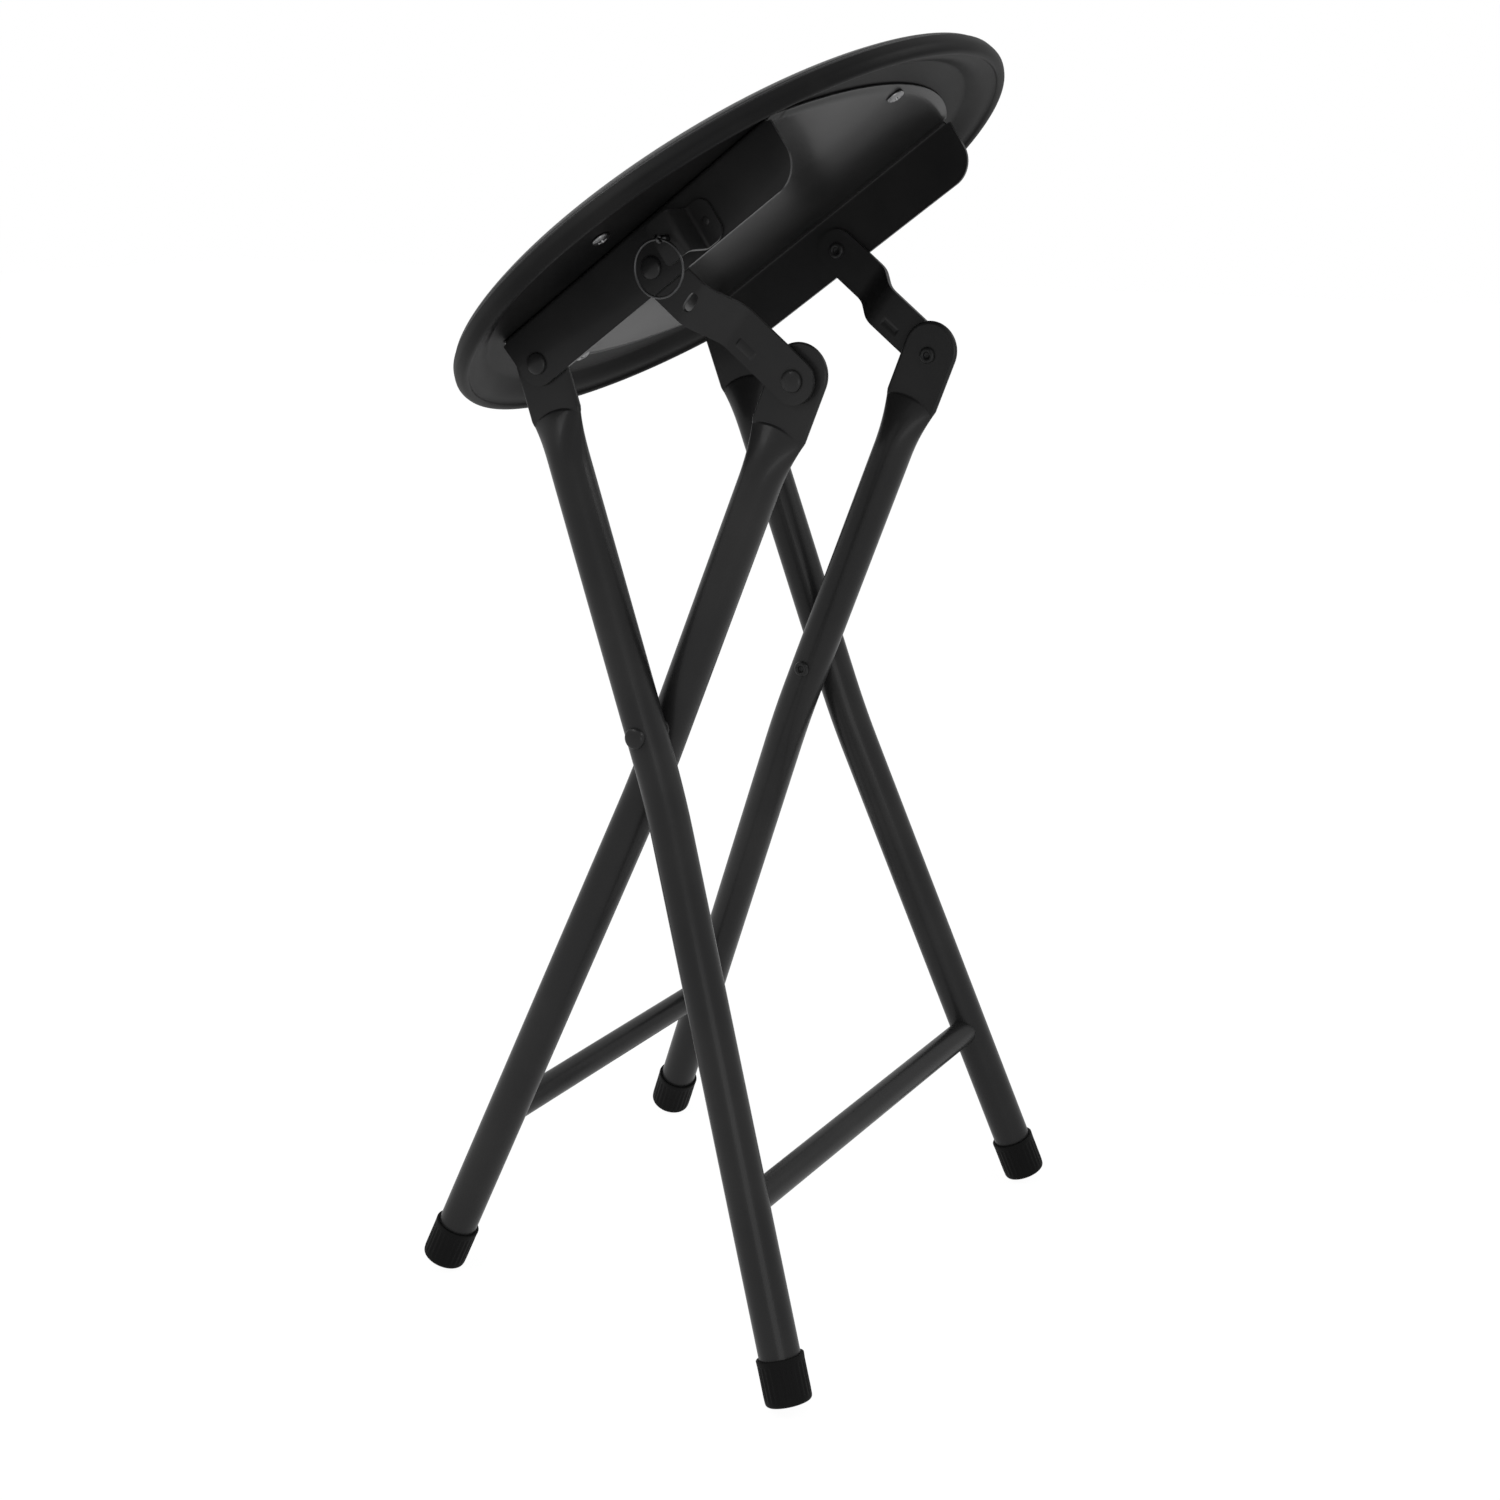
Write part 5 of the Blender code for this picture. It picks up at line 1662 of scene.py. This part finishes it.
@dataclass
class LockSet(SubAssembly):
    """The sprung pin on the left flange: bent bracket, rivet, pin with an eye, spring and wire ring."""

    flange: float = 112.0
    flange_sheet: float = 2.0
    rise: float = 22.0
    gap: float = 0.3
    sheet: float = 1.8
    half: float = 13.0
    plate: Span = (121.0, 138.0)
    bend: float = 3.2
    corners: Span = (3.0, 7.5)
    tab_end: float = 152.0
    tab_rivet: float = 145.0
    pin: float = 2.2
    pin_depth: float = 1.5
    collar: float = 5.2
    collar_at: float = 7.5
    collar_sheet: float = 1.6
    neck: float = 1.4
    eye_y: float = 142.5
    eye_radius: float = 2.1
    eye_wire: float = 0.8
    spring_radius: float = 3.9
    spring_wire: float = 0.5
    spring_turns: int = 5
    ring_radius: float = 15.6
    ring_wire: float = 0.75

    def bracket_grid(self) -> np.ndarray:
        """Gives the bracket's middle surface.

        A bent line runs along the outer plate, down the riser and along the tab, and carries a strip
        whose half width is h - c + sqrt(c^2 - (c - q)^2) within c of each end, q being the distance
        to that end.
        """
        top = self.flange + self.rise - self.sheet / 2
        foot = self.flange + self.gap + self.sheet / 2
        riser = self.plate[1] - self.sheet / 2
        corners = [(riser, top, self.bend), (riser, foot, self.bend)]
        line = rounded_line([(self.plate[0], top, 0.0), *corners, (self.tab_end, foot, 0.0)], 9)
        step = np.linalg.norm(np.diff(line, axis=0), axis=1)
        reach = np.concatenate(([0.0], np.cumsum(step)))
        total, (near, far) = reach[-1], self.corners
        first = near * (1.0 - np.cos(quarter(8)))
        last = total - far * (1.0 - np.cos(np.linspace(math.pi / 2, 0.0, 12)))
        at = np.concatenate((first, np.linspace(near, total - far, 48)[1:-1], last))
        s, y = np.interp(at, reach, line[:, 0]), np.interp(at, reach, line[:, 1])
        width = np.min(
            [
                self.half - c + np.sqrt(np.maximum(c**2 - (c - np.minimum(q, c)) ** 2, 0.0))
                for q, c in ((at, near), (total - at, far))
            ],
            axis=0,
        )
        return positions(s[:, None], -y[:, None], width[:, None] * np.linspace(-1.0, 1.0, 25))

    def build_bracket(self) -> None:
        """Builds the bracket and its small rivet."""
        bracket = Shell().add(self.bracket_grid()).to_object("bent_bracket", SEAT, 55.0)
        thicken(bracket, self.sheet, 0.3)
        self.settle(bracket, "seat", Slot.PAINT, "lock_bracket")
        outer, inner = self.flange + self.gap + self.sheet, self.flange - self.flange_sheet
        line = rounded_line(
            [
                (0.0, outer + 0.7, 0.0),
                (1.9, outer + 0.6, 0.8),
                (2.5, outer + 0.1, 0.3),
                (2.0, outer, 0.1),
                (2.0, inner, 0.1),
                (3.0, inner - 0.1, 0.2),
                (2.8, inner - 1.0, 0.5),
                (0.0, inner - 1.1, 0.0),
            ],
            5,
        )
        grid = revolve(line, 40, Axis.ACROSS, -1.0)
        grid[..., 0] += self.tab_rivet
        self.make("tab_rivet", grid, SEAT, 50.0, "seat", Slot.PAINT, "lock_bracket_rivet")

    def build_pin(self) -> None:
        """Builds the pin with its collar and eye."""
        tip, collar = self.flange - self.pin_depth, self.flange + self.collar_at
        plate, neck = collar + self.collar_sheet, self.eye_y - 2.6
        line = rounded_line(
            [
                (0.0, tip, 0.0),
                (self.pin, tip, 0.9),
                (self.pin, collar, 0.2),
                (self.collar, collar, 0.4),
                (self.collar, plate, 0.4),
                (self.pin, plate, 0.2),
                (self.pin, neck - 1.5, 0.6),
                (self.neck, neck, 0.8),
                (0.0, neck + 0.6, 0.0),
            ],
            5,
        )
        shell = Shell().add(revolve(line, 40, Axis.ACROSS, -1.0), wrap_columns=True)
        turn, eye = around(40), self.eye_radius
        loop = positions(0.0, -self.eye_y + eye * np.cos(turn), eye * np.sin(turn))
        shell.add(sweep(loop, self.eye_wire, 12, True), wrap_rows=True, wrap_columns=True)
        self.settle(shell.to_object("sprung_pin", PIN, 50.0), "pin", Slot.WIRE, "lock_pin")

    def build_spring(self) -> None:
        """Builds the coil between the pin's collar and the bracket's plate."""
        room, radius = self.spring_wire + self.gap, self.spring_radius
        start = self.flange + self.collar_at + self.collar_sheet + room
        end = self.flange + self.rise - self.sheet - room
        part = np.linspace(0.0, 1.0, self.spring_turns * 24 + 1)
        turn = part * self.spring_turns * 2 * math.pi
        coil = positions(radius * np.cos(turn), -(start + (end - start) * part), radius * np.sin(turn))
        grid = sweep(coil, self.spring_wire, 8, False)
        self.make("coil_spring", grid, PIN, 60.0, "seat", Slot.WIRE, "lock_spring")

    def build_ring(self) -> None:
        """Builds the wire ring, which hangs from the pin's eye."""
        turn, radius = around(96), self.ring_radius
        loop = positions(radius * np.cos(turn), 0.0, radius * np.sin(turn) - radius)
        grid = sweep(loop, self.ring_wire, 14, True)
        self.make("wire_ring", grid, EYE, 60.0, "ring", Slot.WIRE, "pull_ring", closed=True)

    def build(self) -> None:
        """Builds the whole lock."""
        self.build_bracket()
        self.build_pin()
        self.build_spring()
        self.build_ring()


# The photo set


@dataclass(frozen=True)
class Lamp:
    """A soft square lamp: its place, what it looks at, its size in metres and its power in watts."""

    name: str
    place: Triple
    target: Triple
    size: float
    power: float


LAMPS = (
    Lamp("key_lamp", (-1.1, -1.5, 2.2), (0.05, 0.0, 0.45), 1.1, 16.0),
    Lamp("rim_lamp", (1.6, 0.9, 1.7), (0.05, 0.0, 0.45), 0.8, 9.0),
    Lamp("low_lamp", (1.3, -1.4, 0.35), (0.05, 0.0, 0.5), 0.9, 5.0),
)


@dataclass
class PhotoSet:
    """Pale floor, white surroundings, soft lamps and the camera."""

    camera_at: Triple = (0.69330, -1.15059, 0.72563)
    yaw: float = -0.5336
    pitch: float = -0.2773
    lens: float = 51.71
    sensor: float = 36.0
    world_level: float = 0.5
    world_glossy: float = 0.4
    floor_reach: float = 9.0
    floor_level: float = -0.0005
    floor_white: Colour = (0.9, 0.9, 0.9)
    floor_roughness: float = 0.9
    floor_glow: float = 1.07
    floor_glossy: float = 0.62
    glow_share: float = 0.9

    def build_camera(self) -> None:
        """Sets the camera where the photograph was taken from.

        It looks along d = (sin yaw cos pitch, cos yaw cos pitch, sin pitch).
        """
        level = math.cos(self.pitch)
        look = Vector((math.sin(self.yaw) * level, math.cos(self.yaw) * level, math.sin(self.pitch)))
        right = Vector((math.cos(self.yaw), -math.sin(self.yaw), 0.0))
        up = right.cross(look)
        data = bpy.data.cameras.new("photo_camera")
        data.lens = self.lens
        data.sensor_width = self.sensor
        camera = bpy.data.objects.new("photo_camera", data)
        camera.matrix_world = Matrix((right, up, -look)).transposed().to_4x4()
        camera.location = Vector(self.camera_at)
        bpy.context.scene.collection.objects.link(camera)
        bpy.context.scene.camera = camera

    def build_floor(self) -> None:
        """Lays a pale floor that nearly gives off its own white to the camera, and keeps the shadow."""
        mesh = bpy.data.meshes.new("studio_floor")
        signs = ((-1.0, -1.0), (1.0, -1.0), (1.0, 1.0), (-1.0, 1.0))
        corners = [(x * self.floor_reach, y * self.floor_reach, self.floor_level) for x, y in signs]
        mesh.from_pydata(corners, [], [(0, 1, 2, 3)])
        floor = bpy.data.objects.new("studio_floor", mesh)
        bpy.context.scene.collection.objects.link(floor)
        skin = {
            "Base Color": (*self.floor_white, 1.0),
            "Roughness": self.floor_roughness,
            "Specular IOR Level": 0.0,
        }
        material, bench, shader = start_material("studio_white", skin)
        glow = bench.add("Emission", {"Strength": self.floor_glow})
        mix = bench.add("MixShader")
        seen = bench.math("MULTIPLY", bench.seen(self.floor_glossy), self.glow_share)
        bench.join(seen, mix.inputs["Fac"])
        bench.join(shader.outputs["BSDF"], mix.inputs[1])
        bench.join(glow.outputs["Emission"], mix.inputs[2])
        output = material.node_tree.nodes["Material Output"]
        bench.join(mix.outputs["Shader"], output.inputs["Surface"])
        mesh.materials.append(material)

    def build_world(self) -> None:
        """Surrounds the stool with white that the camera sees, and a plain level of light."""
        world = bpy.data.worlds.new("studio")
        world.use_nodes = True
        bpy.context.scene.world = world
        bench = Bench(world.node_tree)
        ground = world.node_tree.nodes["Background"]
        bench.fill(ground, {"Color": (1.0, 1.0, 1.0, 1.0)})
        strength = bench.span(bench.seen(self.world_glossy), 0.0, 1.0, (self.world_level, 1.0))
        bench.join(strength, ground.inputs["Strength"])

    def build_lamps(self) -> None:
        """Hangs the soft lamps, each turned towards the stool."""
        for lamp in LAMPS:
            data = bpy.data.lights.new(lamp.name, "AREA")
            data.shape = "SQUARE"
            data.size = lamp.size
            data.energy = lamp.power
            light = bpy.data.objects.new(lamp.name, data)
            light.location = Vector(lamp.place)
            aim = Vector(lamp.target) - Vector(lamp.place)
            light.rotation_euler = aim.to_track_quat("-Z", "Y").to_euler()
            bpy.context.scene.collection.objects.link(light)

    def build(self) -> None:
        """Builds the set."""
        bpy.context.scene.view_settings.view_transform = "Standard"
        self.build_camera()
        self.build_floor()
        self.build_world()
        self.build_lamps()
        LOG.info("photo set ready with %d lamps", len(LAMPS))


def main() -> None:
    """Builds the set and every sub-assembly, in order."""
    logging.basicConfig(level=logging.INFO, format="%(name)s: %(message)s")
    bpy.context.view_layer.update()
    PhotoSet().build()
    finishes = Finishes()
    for part in (SeatPad, SeatTray, Channel, SeatScrews, LegFrame):
        part(finishes).build()
    inner = {"top_y": 84.0, "cross_y": 87.6, "foot_y": 140.5, "lower": 407.0, "tip": 21.5}
    LegFrame(finishes, word="inner", body="inner_legs", place=INNER, **inner).build()
    for part in (Rivets, LinkPair, LockSet):
        part(finishes).build()


if __name__ == "__main__":
    main()
